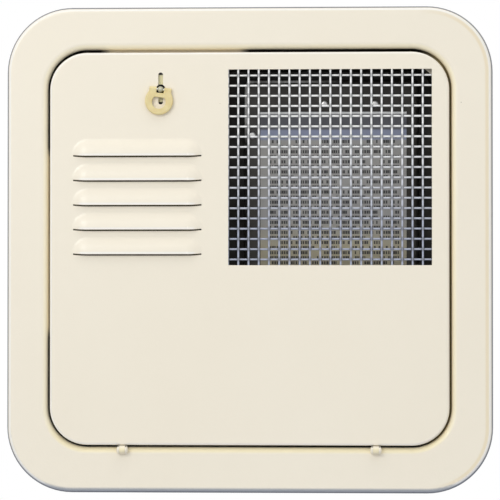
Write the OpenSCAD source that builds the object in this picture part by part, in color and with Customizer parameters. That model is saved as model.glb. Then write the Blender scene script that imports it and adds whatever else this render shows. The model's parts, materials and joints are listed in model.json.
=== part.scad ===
// Caravan water heater access door: a pressed frame that screws into a wall cut-out, and a
// drop-down door with a louvred side, a wire screen window and a pull-ring latch.
// X runs right, Y runs back into the wall and Z up. The origin is the middle of the wall
// cut-out, in the plane of the wall's outer face.

/* [Frame] */
// Overall width of the frame
frame_w = 385; // [350:1:440]
// Overall height of the frame
frame_h = 385; // [350:1:440]
// Outer corner radius of the frame
frame_corner_r = 52; // [45:1:60]
// Width of the flange beside the opening
flange_side = 32.7; // [30:0.1:40]
// Width of the flange above the opening
flange_top = 33.65; // [30:0.05:40]
// Width of the flange below the opening
flange_bottom = 36.35; // [32:0.05:44]
// How far the flange's front stands off the wall
flange_proud = 6; // [5:0.5:8]
// Sheet thickness of the frame
frame_t = 1.2; // [0.8:0.1:1.5]
// Outer radius of the rolled outer edge
roll_r = 4; // [2.5:0.5:4.5]

/* [Door opening] */
// Outer radius of the bend from the flange into the collar
lip_r = 5.4; // [3:0.1:7]
// Width of the stop ledge behind the door
ledge_w = 12; // [10:0.5:14]
// Depth of the return collar behind the ledge
return_depth = 11.5; // [9:0.5:15]

/* [Frame screw holes] */
// Diameter of the four fixing holes in the ledge
screw_hole_d = 4.6; // [3.5:0.1:5.5]
// Distance from the collar in to the holes
screw_hole_in = 6; // [5:0.1:7]
// Distance from the opening's top and bottom to the holes
screw_hole_end = 52.5; // [40:0.5:90]

/* [Gasket] */
// Width of the foam strip behind the flange
gasket_w = 10; // [6:1:14]
// Distance from the frame's outer edge in to the strip
gasket_in = 6; // [4:0.5:10]

/* [Door] */
// Gap beside the door
gap_side = 1.7; // [1:0.1:3]
// Gap above the door
gap_top = 2.5; // [1.5:0.1:4]
// Gap below the door
gap_bottom = 1.5; // [1.4:0.1:3]
// How far the door's face stands in front of the flange
door_proud = 1.5; // [0.5:0.1:2.5]
// Depth of the door from its face to its return edge
door_depth = 12.5; // [10:0.5:16]
// Sheet thickness of the door
door_t = 1; // [0.8:0.1:1.2]
// Outer radius of the bend round the door's face
door_edge_r = 2; // [1.5:0.1:3]
// Corner radius of the door
door_corner_r = 29.7; // [26:0.1:32]
// Clearance between the door's return edge and the ledge
stop_gap = 0.5; // [0.3:0.1:1]

/* [Louvres] */
// Number of louvres
louvre_count = 5; // [3:1:6]
// Distance from one louvre to the next
louvre_pitch = 19.5; // [17:0.1:22]
// Length of a louvre
louvre_len = 106; // [80:0.5:110]
// Height of a louvre's hood on the face
louvre_h = 13.5; // [10:0.5:15]
// How far the hood's lip stands out
louvre_out = 3.4; // [2.5:0.1:6]
// Open slit seen below the hood's lip
louvre_slit = 1.2; // [0.8:0.1:2]
// Radius of the hollow bend where a hood leaves the sheet
louvre_foot_r = 8; // [5:0.5:12]
// How far the turned-up ends of a lip stand above its straight middle
louvre_bow = 0.9; // [0.5:0.1:1.5]
// Length over which each end of a lip turns up
louvre_bow_len = 14; // [8:0.5:24]
// Distance from the door's left edge to the louvres
louvre_in = 16.5; // [12:0.25:30]
// Distance from the door's top edge down to the top slit
louvre_down = 81; // [70:0.5:90]

/* [Screen window] */
// Distance from the door's left edge to the window
window_in = 141.7; // [136:0.1:180]
// Height of the window
window_h = 155; // [130:1:160]
// Distance from the window to the door's right edge and top edge
window_margin = 13.7; // [13.5:0.1:20]
// Wire diameter of the screen
wire_d = 1.6; // [1.2:0.1:2]
// Distance from one wire to the next
mesh_pitch = 8.1; // [6:0.1:12]
// Sideways shift of the wires from the window's middle
mesh_shift = 0.4; // [-1:0.1:1]
// Gap between the retainer and the inside of the door's return
retainer_gap = 2.2; // [1.5:0.1:2.5]
// Sheet thickness of the retainer
retainer_t = 1; // [0.8:0.1:1.5]
// Height of the retainer's stiffening lip
retainer_lip = 3; // [1.5:0.5:4]
// Diameter of the weld studs
weld_stud_d = 3; // [2:0.1:3.2]
// Diameter of the push nuts
push_nut_d = 8; // [6:0.5:8]

/* [Hinges] */
// Distance from the door's side edge to the middle of a hinge
hinge_in = 57.9; // [47:0.1:100]
// Width of the frame's knuckle
knuckle_w = 4.4; // [4:0.1:12]
// Diameter of the hinge pin
hinge_pin_d = 4; // [3:0.1:4.4]
// Thickness of the frame's hinge strap
strap_t = 1.15; // [0.8:0.05:1.2]
// Width of the strap where it is welded down
strap_w = 26; // [16:1:40]
// Thickness of the door's hinge ears
ear_t = 1.2; // [1:0.1:2]
// Depth of an ear where it passes through the door's return
ear_depth = 4.3; // [3.5:0.1:4.5]
// Thickness of the plate that joins the ears
ear_plate_t = 1.5; // [1:0.1:2]
// Width of the plate that joins the ears
ear_plate_w = 30; // [20:1:40]

/* [Latch] */
// Distance from the door's left edge to the latch axis
latch_in = 88.1; // [60:0.1:100]
// Distance from the door's top edge down to the latch axis
latch_down = 29.5; // [27:0.1:34]
// Clearance round the stud in the door's hole, on the radius
latch_hole_clear = 1.6; // [1.2:0.1:2.5]
// Clearance beside the ring in its slot
slot_side_clear = 0.45; // [0.4:0.05:1]
// How much longer the slot is than the ring is wide
slot_spare = 2.9; // [2:0.1:5]
// Height of the slot's middle above the latch axis
slot_up = 0.9; // [0:0.1:0.9]
// Diameter of the latch stud
latch_stud_d = 4.8; // [4.5:0.1:6]
// Gap between the door's face and the ring's ears
ring_gap = 0.5; // [0.3:0.1:1]
// Turn of the ring from upright, as it is left
ring_tilt = 7; // [0:1:30]
// Outer diameter of the ring
ring_d = 22.4; // [20:0.1:23.2]
// Thickness of the ring
ring_t = 2.8; // [2:0.1:2.9]
// Distance from the pin to the ring's lowest point
ring_drop = 20.3; // [19:0.1:24]
// Width across the ring's two ears
ring_ears_w = 17.6; // [15:0.1:19]
// Outer diameter of the ring's ears round the pin
ring_eye_d = 3.2; // [2.9:0.1:3.3]
// Diameter of the ring's pin
ring_pin_d = 1.6; // [1.2:0.1:1.8]
// Width of the finger hole
finger_w = 10.8; // [9:0.1:12]
// Distance from the pin to the finger hole's flat top
finger_top = 6.4; // [5.4:0.1:7]
// Distance from the pin to the finger hole's lowest point
finger_bottom = 15.5; // [14:0.1:16]
// Width of the latch bracket
bracket_w = 24; // [16:1:30]
// Thickness of the latch bracket
bracket_t = 1.5; // [1:0.1:2]
// Gap between the door's sheet and the latch bracket
bracket_gap = 2; // [1.8:0.1:3]
// Length of the bracket below the latch axis
bracket_drop = 11.3; // [10.5:0.1:14]
// Depth of the return along the bracket's tip
bracket_return = 5; // [3.5:0.5:8]

/* [Flue shield] */
// Sheet thickness of the shield
shield_t = 0.8; // [0.6:0.1:1.2]
// Gap between the latch bracket and the shield's left wall
shield_latch_gap = 18; // [8:0.5:24]
// Height of the shield
shield_h = 191; // [186:1:230]
// Depth of the shield from its front edge to its back
shield_depth = 40; // [32:1:60]
// Distance from the shield's left wall to the raised cover
cover_left_gap = 34.6; // [25:0.1:38]
// Distance from the shield's right wall to the cover
cover_right_gap = 12.8; // [8:0.1:20]
// Distance from the shield's top wall to the cover
cover_top_gap = 9.9; // [8:0.1:14]
// Distance from the shield's bottom wall to the cover
cover_bottom_gap = 9.1; // [8:0.1:20]
// Width of the flange round the cover's foot
cover_flange_w = 4.5; // [3:0.5:4.5]
// How far the cover's face stands out from the shield's back
cover_depth = 23; // [18:0.5:25]
// Corner radius of the raised cover
cover_corner_r = 6; // [5:0.5:15]
// Bend radius round the cover's face
cover_edge_r = 4; // [2:0.5:4.5]
// Bend radius round the shield's back
pan_edge_r = 3; // [1.5:0.5:3.5]
// Distance from the shield's ends in to the screws that hold it
shield_screw_in = 47; // [25:1:60]

/* [Foil plate] */
// Distance from the cover's left side to the plate
plate_in = 13.3; // [8:0.1:18]
// Distance from the cover's right side to the plate
plate_right_gap = 10; // [5:0.1:20]
// Distance from the cover's top down to the plate's bend
plate_down = 40; // [36:0.5:46]
// Distance from the cover's bottom to the plate
plate_bottom_gap = 7; // [4:0.5:20]
// Height of the leaning lip
plate_lip_h = 13.5; // [8:0.5:16]
// How far the lip leans out
plate_lip_out = 6; // [3:0.5:8]
// Thickness of the plate
plate_t = 0.5; // [0.4:0.1:0.8]

/* [Fits] */
// Running clearance of pins and studs, on the radius
run_clear = 0.05; // [0.02:0.01:0.08]
// Clearance of fasteners in their holes, on the radius
hole_clear = 0.05; // [0.02:0.01:0.2]
// Gap between the hinge knuckles and the frame's lip
lip_clear = 0.3; // [0.3:0.05:1]

/* [Hidden] */
$fn = 64;

cream = [0.95, 0.91, 0.83];
zinc = [0.75, 0.76, 0.78];
dark_sheet = [0.32, 0.32, 0.33];
foil = [0.66, 0.66, 0.68];
foam = [0.18, 0.18, 0.19];
nylon = [0.92, 0.84, 0.62];
black = [0.13, 0.13, 0.14];

// Heights and forward places; "front" counts from the wall's face towards the viewer
eps = 0.01;
opening_w = frame_w - 2 * flange_side;
opening_h = frame_h - flange_top - flange_bottom;
opening_up = (flange_bottom - flange_top) / 2;
opening_top = opening_up + opening_h / 2;
opening_bottom = opening_up - opening_h / 2;
door_w = opening_w - 2 * gap_side;
door_h = opening_h - gap_top - gap_bottom;
door_up = opening_up + (gap_bottom - gap_top) / 2;
door_bottom = door_up - door_h / 2;
door_top = door_up + door_h / 2;
door_front = flange_proud + door_proud;
door_inside = door_front - door_t;
door_rear = door_front - door_depth;
ledge_front = door_rear - stop_gap;
ledge_rear = ledge_front - frame_t;
return_rear = ledge_rear - return_depth;
opening_r = door_corner_r + gap_side;
throat_w = opening_w - 2 * ledge_w;
throat_top = opening_top - ledge_w;
screw_x = opening_w / 2 - screw_hole_in;

// Hinge axis: the strap lies on the bottom collar and curls down round the pin
knuckle_r = hinge_pin_d / 2 + run_clear + strap_t;
hinge_x = door_w / 2 - hinge_in;
hinge_z = opening_bottom + strap_t - knuckle_r;
lip_axis_z = opening_bottom - lip_r;
lip_axis_front = flange_proud - lip_r;
lip_reach = lip_r + knuckle_r + lip_clear;
hinge_front = lip_axis_front + sqrt(pow(lip_reach, 2) - pow(hinge_z - lip_axis_z, 2));
ear_side_gap = 0.15;
ear_x = knuckle_w / 2 + ear_side_gap;
ear_face_gap = 0.2;
ear_front = door_inside - ear_face_gap;
ear_back = ear_front - ear_depth;
ear_slot_gap = 0.3;
ear_plate_in = 1;
ear_plate_over = 1;
knuckle_seam = 0.9;
pin_head_t = 1.1;
pin_head_r = hinge_pin_d / 2 + 0.9;
pin_dome_r = (pow(pin_head_r, 2) + pow(pin_head_t, 2)) / (2 * pin_head_t);

// Latch: everything on its axis is counted from the bracket's front face
latch_x = latch_in - door_w / 2;
latch_z = door_top - latch_down;
latch_hole_d = latch_stud_d + 2 * latch_hole_clear;
slot_w = ring_t + 2 * slot_side_clear;
slot_len = ring_d + slot_spare;
bracket_front = door_inside - bracket_gap;
bracket_back = bracket_front - bracket_t;
bracket_bend_r = 3;
bracket_foot_in = 1;
bracket_foot = return_rear + bracket_foot_in;
bracket_tip = latch_z - bracket_drop;
latch_stud_r = latch_stud_d / 2;
bush_wall = 1;
bush_flange_over = 0.8;
bush_flange_t = 0.8;
bush_tail = 1.4;
bush_r = latch_stud_r + bush_wall;
bush_flange_r = bush_r + bush_flange_over;
bush_rear = bracket_back - bush_tail;
bush_front = bracket_front + bush_flange_t;
shoulder_r = latch_stud_r + 0.8;
shoulder_t = 1.2;
washer_t = 0.5;
washer_gap = 0.05;
washer_clear = 0.2;
clip_t = 0.7;
clip_groove = 0.6;
clip_rim = 1.6;
clip_seat_r = latch_stud_r - clip_groove;
clip_front = bush_rear - 2 * washer_gap - washer_t;
stud_tail = 0.9;
stud_rear = clip_front - clip_t - stud_tail;
ring_front = door_front + ring_gap + ring_eye_d / 2;
ring_notch_clear = 0.5;
pin_in = 0.3;
rivet_r = 1.6;
rivet_in = 5;
rivet_head_r = 2.9;
rivet_crown_r = 2;
rivet_head_t = 1;
rivet_front = (return_rear + ledge_rear) / 2;

// Screen stack behind the door's sheet
wire_r = wire_d / 2;
wire_skin = 0.02;
upright_front = door_inside - wire_skin - wire_r;
level_front = upright_front - wire_skin - wire_d;
retainer_front = level_front - wire_r - wire_skin;
retainer_rear = retainer_front - retainer_t;
window_w = door_w - window_in - window_margin;
window_x = door_w / 2 - window_margin - window_w / 2;
window_z = door_top - window_margin - window_h / 2;
retainer_margin = window_margin - door_t - retainer_gap;
retainer_corner_r = door_corner_r * 0.8;
retainer_lip_in = 1.2;
stud_out = retainer_margin - push_nut_d / 2;
wire_over = stud_out - weld_stud_d / 2;
upright_half = window_h / 2 + wire_over;
level_half = window_w / 2 + wire_over;
wires_each_side_x = floor((level_half - wire_r - abs(mesh_shift)) / mesh_pitch);
wires_each_side_z = floor((upright_half - wire_r) / mesh_pitch);
stud_cell_x = (floor(wires_each_side_x / 2) + 0.5) * mesh_pitch;
stud_cell_z = (floor(wires_each_side_z / 2) + 0.5) * mesh_pitch;
push_nut_t = 0.6;
push_nut_dome = 0.8;
push_nut_collar = 0.8;
push_nut_foot = 1.5;
weld_stud_tip = 0.7;
weld_stud_rear = retainer_rear - push_nut_t - push_nut_dome - weld_stud_tip;

// Louvres: a hood leaves the sheet by a hollow bend and turns over into a round brow
louvre_top = door_top - louvre_down;
louvre_x = louvre_in + louvre_len / 2 - door_w / 2;
louvre_half = louvre_len / 2 - louvre_h;
louvre_sink = 0.05;
louvre_lap = 0.005;
louvre_bow_lap = 0.02;
louvre_turn = 2 * atan((louvre_out + louvre_sink) / louvre_h);
louvre_brow_r = louvre_h / sin(louvre_turn) - louvre_foot_r;
louvre_bow_r = (pow(louvre_bow_len, 2) + pow(louvre_bow, 2)) / (2 * louvre_bow);

// Shield: its top and right walls lie against the frame's return collar
shield_gap = 1;
shield_front = ledge_rear - shield_gap;
shield_back = shield_front - shield_depth;
shield_left = latch_x + bracket_w / 2 + shield_latch_gap;
shield_w = throat_w / 2 - shield_left;
shield_x = shield_left + shield_w / 2;
shield_z = throat_top - shield_h / 2;
shield_corner_r = opening_r - ledge_w;
cover_w = shield_w - cover_left_gap - cover_right_gap;
cover_h = shield_h - cover_top_gap - cover_bottom_gap;
cover_left = shield_left + cover_left_gap;
cover_top = throat_top - cover_top_gap;
cover_x = cover_left + cover_w / 2;
cover_z = cover_top - cover_h / 2;
cover_front = shield_back + cover_depth;
shield_screw_front = (shield_front + return_rear) / 2;
shield_screw_r = 1.75;
cover_screw_r = 1.5;
screw_tip = 2.5;
// Cover screws: two side by side near the cover's top, and one beside the plate
cover_screw_down = 19.9;
side_screw_in = 6.8;
side_screw_down = 44.8;
cover_screw_spots = [
  [cover_left + cover_w * 0.46, cover_top - cover_screw_down],
  [cover_left + cover_w * 0.75, cover_top - cover_screw_down],
  [cover_left + side_screw_in, cover_top - side_screw_down]];
plate_w = cover_w - plate_in - plate_right_gap;
plate_len = cover_h - plate_down - plate_bottom_gap;
plate_left = cover_left + plate_in;
plate_bend_z = cover_top - plate_down;

// Helpers: everything is drawn lying face up, with z towards the viewer, and then stood up
module upright() { rotate([90, 0, 0]) children(); }

// Rounded rectangle made of true arcs
module rounded(w, h, r) {
  square([w - 2 * r, h], center = true);
  square([w, h - 2 * r], center = true);
  for (sx = [-1, 1], sy = [-1, 1])
    translate([sx * (w / 2 - r), sy * (h / 2 - r)]) circle(r);
}

// Sweeps a section round a rounded rectangle; the section's x is the distance outward from
// the rectangle's outline and its y the height towards the viewer
module swept(w, h, r) {
  for (k = [0:3]) {
    reach = k % 2 == 0 ? h / 2 : w / 2;
    run = k % 2 == 0 ? w - 2 * r : h - 2 * r;
    rotate([0, 0, 90 * k]) {
      translate([-run / 2, reach, 0]) rotate([90, 0, 90]) linear_extrude(run) children();
      translate([run / 2, reach - r, 0])
        rotate_extrude(angle = 90) translate([r, 0]) children();
    }
  }
}

// Quarter of a bend of outer radius r and thickness t, in the quadrant of sx, sy
module bend(r, t, sx, sy) {
  intersection() {
    difference() { circle(r); circle(r - t); }
    translate([sx > 0 ? 0 : -r, sy > 0 ? 0 : -r]) square(r);
  }
}

// Extrudes a section along x, centred; the section's x is height and its y is forward
module along_x(x, len) {
  translate([x - len / 2, 0, 0]) rotate([90, 0, 90]) linear_extrude(len) children();
}

// Frame
module frame_sections() {
  flat = flange_proud - frame_t;
  // Flat of the flange
  translate([0, 0, flat]) linear_extrude(frame_t) difference() {
    rounded(frame_w - 2 * roll_r, frame_h - 2 * roll_r, frame_corner_r - roll_r);
    translate([0, opening_up])
      rounded(opening_w + 2 * lip_r, opening_h + 2 * lip_r, opening_r + lip_r);
  }
  // Rolled outer edge down to the wall
  swept(frame_w, frame_h, frame_corner_r) {
    translate([-roll_r, flange_proud - roll_r]) bend(roll_r, frame_t, 1, 1);
    translate([-frame_t, 0]) square([frame_t, flange_proud - roll_r]);
  }
  // Lip, collar, stop ledge and return collar
  translate([0, opening_up, 0]) swept(opening_w, opening_h, opening_r) {
    translate([lip_r, lip_axis_front]) bend(lip_r, frame_t, -1, 1);
    translate([0, ledge_rear]) square([frame_t, lip_axis_front - ledge_rear]);
    translate([-ledge_w, ledge_rear]) square([ledge_w + frame_t, frame_t]);
    translate([-ledge_w, return_rear]) square([frame_t, ledge_rear - return_rear + eps]);
  }
}

module frame() {
  color(cream) upright() difference() {
    frame_sections();
    for (sx = [-1, 1], sz = [-1, 1])
      translate([sx * screw_x, opening_up + sz * (opening_h / 2 - screw_hole_end), ledge_rear - 1])
        cylinder(d = screw_hole_d, h = frame_t + 2);
    for (sx = [-1, 1]) rivet_hole(sx);
    for (s = [-1, 1]) {
      shield_screw_top(s) screw_bore(shield_screw_r);
      shield_screw_side(s) screw_bore(shield_screw_r);
    }
  }
}

module wall_gasket() {
  depth = flange_proud - frame_t;
  color(foam) upright() linear_extrude(depth) difference() {
    rounded(frame_w - 2 * gasket_in, frame_h - 2 * gasket_in, frame_corner_r - gasket_in);
    rounded(frame_w - 2 * gasket_in - 2 * gasket_w, frame_h - 2 * gasket_in - 2 * gasket_w,
      frame_corner_r - gasket_in - gasket_w);
  }
}

// Hinges
module hinge_bracket(side) {
  seam_rear = hinge_front - knuckle_r - 1;
  seam_front = hinge_front - hinge_pin_d / 4;
  foot_front = ledge_front + 1;
  color(cream) upright() {
    // Curl round the pin, open where the sheet's end comes back to the strap
    along_x(side * hinge_x, knuckle_w) difference() {
      union() {
        translate([hinge_z, hinge_front]) circle(knuckle_r);
        translate([opening_bottom, 0]) square([strap_t, hinge_front]);
      }
      translate([hinge_z, hinge_front]) circle(hinge_pin_d / 2 + run_clear);
      translate([opening_bottom - knuckle_seam, seam_rear])
        square([knuckle_seam, seam_front - seam_rear]);
    }
    // Wide foot welded to the collar
    along_x(side * hinge_x, strap_w)
      translate([opening_bottom, foot_front]) square([strap_t, -foot_front]);
  }
}
module hinge_bracket_left() { hinge_bracket(-1); }
module hinge_bracket_right() { hinge_bracket(1); }

// One ear's outline, as height and forward place: an eye round the pin, and a web that runs
// from the eye's brow and heel up to the plate
module ear_outline() {
  top = door_bottom + door_t + ear_plate_t;
  heel = knuckle_r * 0.57;
  brow = knuckle_r * 0.35;
  sill = door_bottom + door_t / 4;
  translate([hinge_z, hinge_front]) circle(knuckle_r);
  polygon([[top, ear_front], [hinge_z + brow, ear_front], [hinge_z, hinge_front],
    [hinge_z - heel, hinge_front - heel], [sill, ear_back], [top, ear_back]]);
}

module hinge_ears(side) {
  color(cream) upright() difference() {
    union() {
      for (s = [-1, 1]) along_x(side * hinge_x + s * (ear_x + ear_t / 2), ear_t) ear_outline();
      along_x(side * hinge_x, ear_plate_w)
        translate([door_bottom + door_t, door_rear + ear_plate_in])
          square([ear_plate_t, ear_back + ear_plate_over - door_rear - ear_plate_in]);
    }
    translate([side * hinge_x - ear_x - ear_t - 1, hinge_z, hinge_front])
      rotate([0, 90, 0]) cylinder(d = hinge_pin_d + 2 * hole_clear, h = 2 * (ear_x + ear_t) + 2);
  }
}
module hinge_ears_left() { hinge_ears(-1); }
module hinge_ears_right() { hinge_ears(1); }

// Pin with its ends spread into domes over the ears
module hinge_pin(side) {
  reach = ear_x + ear_t;
  color(cream) upright() translate([side * hinge_x, hinge_z, hinge_front]) rotate([0, 90, 0]) {
    cylinder(d = hinge_pin_d, h = 2 * reach, center = true);
    for (s = [-1, 1]) intersection() {
      translate([0, 0, s * (reach + pin_head_t - pin_dome_r)]) sphere(pin_dome_r);
      translate([0, 0, s * (reach + pin_head_t)])
        cylinder(r = pin_head_r + 1, h = 2 * pin_head_t, center = true);
    }
  }
}
module hinge_pin_left() { hinge_pin(-1); }
module hinge_pin_right() { hinge_pin(1); }

// Door
// Section of a hood: x runs up the door from the lip's line and y out from the face; skin is
// the depth below the outer surface
module louvre_section(skin, start, floor_y) {
  brow_r = louvre_brow_r - skin;
  brow_y = louvre_out - louvre_brow_r;
  split = brow_r * sin(louvre_turn);
  intersection() {
    translate([0, brow_y]) circle(brow_r);
    translate([start, floor_y]) square([split + 1 - start, louvre_out + 1 - floor_y]);
  }
  difference() {
    translate([split, floor_y]) square([louvre_h - split, louvre_out - floor_y]);
    translate([louvre_h, louvre_foot_r - louvre_sink - louvre_lap])
      circle(louvre_foot_r + skin);
  }
}

// Straight run of the section, with the same section turned about each end
module louvre_form(skin, floor_y) {
  along_x(0, 2 * louvre_half) louvre_section(skin, -louvre_bow - 1, floor_y);
  for (s = [-1, 1]) translate([s * louvre_half, 0, 0]) rotate([0, 0, -s * 90])
    rotate_extrude(angle = 180) louvre_section(skin, 0, floor_y);
}

// Outline whose lower edge is the lip: straight, with its ends turned up. It is moved down the
// door by drop
module louvre_plan(drop) {
  straight = louvre_len / 2 - louvre_bow_len;
  translate([0, -louvre_bow - drop]) {
    translate([-straight, 0]) square([2 * straight, 2 * louvre_h]);
    for (s = [-1, 1]) translate([s * straight, louvre_bow_r - louvre_bow_lap])
      circle(louvre_bow_r, $fn = 360);
  }
}
module at_louvre(k) {
  translate([louvre_x, louvre_top - k * louvre_pitch, door_front]) children();
}
module louvre_hood(k) {
  at_louvre(k) intersection() {
    louvre_form(0, -door_t);
    translate([0, 0, -door_t - 1]) linear_extrude(louvre_out + door_t + 2) louvre_plan(0);
  }
}
module louvre_hollow(k) {
  reach = louvre_len / 2 - 2 * door_t;
  at_louvre(k) {
    intersection() {
      louvre_form(door_t, -door_t - 1);
      translate([0, 0, -door_t - 2]) linear_extrude(louvre_out + door_t + 2)
        louvre_plan(louvre_slit / 2);
    }
    translate([0, 0, -door_t - 1]) linear_extrude(door_t + 2) difference() {
      intersection() {
        louvre_plan(louvre_slit);
        translate([-reach, -louvre_h]) square([2 * reach, 2 * louvre_h]);
      }
      louvre_plan(0);
    }
  }
}

module door_panel() {
  color(cream) upright() difference() {
    union() {
      translate([0, door_up, 0]) {
        translate([0, 0, door_inside]) linear_extrude(door_t)
          rounded(door_w - 2 * door_edge_r, door_h - 2 * door_edge_r,
            door_corner_r - door_edge_r);
        swept(door_w, door_h, door_corner_r) {
          translate([-door_edge_r, door_front - door_edge_r]) bend(door_edge_r, door_t, 1, 1);
          translate([-door_t, door_rear])
            square([door_t, door_front - door_edge_r - door_rear]);
        }
      }
      for (k = [0:louvre_count - 1]) louvre_hood(k);
    }
    for (k = [0:louvre_count - 1]) louvre_hollow(k);
    // Window
    translate([window_x - window_w / 2, window_z - window_h / 2, door_inside - 1])
      cube([window_w, window_h, door_t + 2]);
    // Latch hole and slot
    translate([latch_x, latch_z, door_inside - 1]) {
      cylinder(d = latch_hole_d, h = door_t + 2);
      translate([0, slot_up, 0]) {
        translate([-slot_w / 2, -(slot_len - slot_w) / 2, 0])
          cube([slot_w, slot_len - slot_w, door_t + 2]);
        for (s = [-1, 1]) translate([0, s * (slot_len - slot_w) / 2, 0])
          cylinder(d = slot_w, h = door_t + 2);
      }
    }
    // Slots for the hinge ears, in the bottom return
    for (side = [-1, 1], s = [-1, 1])
      translate([side * hinge_x + s * (ear_x + ear_t / 2) - ear_t / 2 - ear_slot_gap,
          door_bottom - 1, ear_back - ear_slot_gap])
        cube([ear_t + 2 * ear_slot_gap, 1 + door_edge_r + ear_slot_gap,
          door_inside - ear_back + ear_slot_gap]);
  }
}

// Screen
module screen_wires_upright() {
  color(zinc) upright() for (k = [-wires_each_side_x:wires_each_side_x])
    translate([window_x + mesh_shift + k * mesh_pitch, window_z, upright_front])
      rotate([90, 0, 0]) cylinder(d = wire_d, h = 2 * upright_half, center = true);
}
module screen_wires_level() {
  color(zinc) upright() for (k = [-wires_each_side_z:wires_each_side_z])
    translate([window_x, window_z + k * mesh_pitch, level_front])
      rotate([0, 90, 0]) cylinder(d = wire_d, h = 2 * level_half, center = true);
}

// Eight studs, two beyond each side of the window and midway between wires
module at_studs(front) {
  for (a = [-1, 1], b = [-1, 1]) {
    translate([window_x + a * (window_w / 2 + stud_out), window_z + b * stud_cell_z, front])
      children();
    translate([window_x + mesh_shift + a * stud_cell_x, window_z + b * (window_h / 2 + stud_out),
      front]) children();
  }
}

module screen_retainer() {
  outer_w = window_w + 2 * retainer_margin;
  outer_h = window_h + 2 * retainer_margin;
  open_w = window_w + 2 * retainer_lip_in;
  open_h = window_h + 2 * retainer_lip_in;
  color(zinc) upright() difference() {
    translate([window_x, window_z, 0]) {
      translate([0, 0, retainer_rear]) linear_extrude(retainer_t) difference() {
        rounded(outer_w, outer_h, retainer_corner_r);
        square([open_w, open_h], center = true);
      }
      translate([0, 0, retainer_rear - retainer_lip]) linear_extrude(retainer_lip + eps)
        difference() {
          square([open_w + 2 * retainer_t, open_h + 2 * retainer_t], center = true);
          square([open_w, open_h], center = true);
        }
    }
    at_studs(retainer_rear - 1) cylinder(d = weld_stud_d + 2 * hole_clear, h = retainer_t + 2);
  }
}

module weld_studs() {
  color(zinc) upright() at_studs(weld_stud_rear)
    cylinder(d = weld_stud_d, h = door_inside - weld_stud_rear);
}

// Domed washers pushed over the studs
module push_nuts() {
  color(zinc) upright() at_studs(retainer_rear - push_nut_t) difference() {
    union() {
      cylinder(d = push_nut_d, h = push_nut_t);
      translate([0, 0, -push_nut_dome]) cylinder(d1 = weld_stud_d + 2 * push_nut_collar,
        d2 = weld_stud_d + 2 * push_nut_foot, h = push_nut_dome);
    }
    translate([0, 0, -push_nut_dome - 1])
      cylinder(d = weld_stud_d + 2 * hole_clear, h = push_nut_dome + push_nut_t + 2);
  }
}

// Latch
module rivet_spot(sx) {
  translate([latch_x + sx * (bracket_w / 2 - rivet_in), throat_top, rivet_front])
    rotate([-90, 0, 0]) children();
}
module rivet_hole(sx) {
  rivet_spot(sx) translate([0, 0, -bracket_t - 1])
    cylinder(r = rivet_r + hole_clear, h = bracket_t + frame_t + 2);
}

module latch_bracket() {
  color(cream) upright() difference() {
    along_x(latch_x, bracket_w) {
      translate([throat_top - bracket_t, bracket_foot])
        square([bracket_t, bracket_front - bracket_bend_r - bracket_foot]);
      translate([throat_top - bracket_bend_r, bracket_front - bracket_bend_r])
        bend(bracket_bend_r, bracket_t, 1, 1);
      translate([bracket_tip + bracket_bend_r, bracket_back])
        square([throat_top - 2 * bracket_bend_r - bracket_tip, bracket_t]);
      translate([bracket_tip + bracket_bend_r, bracket_front - bracket_bend_r])
        bend(bracket_bend_r, bracket_t, -1, 1);
      translate([bracket_tip, bracket_front - bracket_return])
        square([bracket_t, bracket_return - bracket_bend_r]);
    }
    for (sx = [-1, 1]) rivet_hole(sx);
    translate([latch_x, latch_z, bracket_back - 1])
      cylinder(r = bush_r + hole_clear, h = bracket_t + 2);
  }
}

module latch_bracket_rivets() {
  color(zinc) upright() for (sx = [-1, 1]) rivet_spot(sx) {
    translate([0, 0, -bracket_t - rivet_head_t])
      cylinder(r1 = rivet_crown_r, r2 = rivet_head_r, h = rivet_head_t);
    translate([0, 0, -bracket_t]) cylinder(r = rivet_r, h = bracket_t + frame_t);
    translate([0, 0, frame_t])
      cylinder(r1 = rivet_head_r, r2 = rivet_crown_r, h = rivet_head_t);
  }
}

module at_latch(front) { translate([latch_x, latch_z, front]) children(); }

module latch_bush() {
  color(black) upright() difference() {
    union() {
      at_latch(bracket_front) cylinder(r = bush_flange_r, h = bush_flange_t);
      at_latch(bush_rear) cylinder(r = bush_r, h = bracket_front - bush_rear);
    }
    at_latch(bush_rear - 1)
      cylinder(r = latch_stud_r + run_clear, h = bush_front - bush_rear + 2);
  }
}

module latch_stud() {
  shoulder_rear = bush_front + run_clear;
  color(zinc) upright() difference() {
    union() {
      at_latch(stud_rear) cylinder(r = latch_stud_r, h = ring_front - stud_rear);
      at_latch(shoulder_rear) cylinder(r = shoulder_r, h = shoulder_t);
      at_latch(ring_front) sphere(r = latch_stud_r);
    }
    // Groove for the clip
    at_latch(clip_front - clip_t - washer_gap) difference() {
      cylinder(r = latch_stud_r + 1, h = clip_t + 2 * washer_gap);
      translate([0, 0, -1]) cylinder(r = clip_seat_r, h = clip_t + 2);
    }
    at_latch(ring_front) rotate([0, 0, -ring_tilt]) rotate([0, 90, 0])
      cylinder(d = ring_pin_d + 2 * hole_clear, h = 3 * latch_stud_d, center = true);
  }
}

// Sprung washer, at the thickness that it has when squeezed
module wave_washer() {
  color(zinc) upright() at_latch(bush_rear - washer_gap - washer_t) difference() {
    cylinder(r = bush_flange_r, h = washer_t);
    translate([0, 0, -1]) cylinder(r = latch_stud_r + washer_clear, h = washer_t + 2);
  }
}

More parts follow.
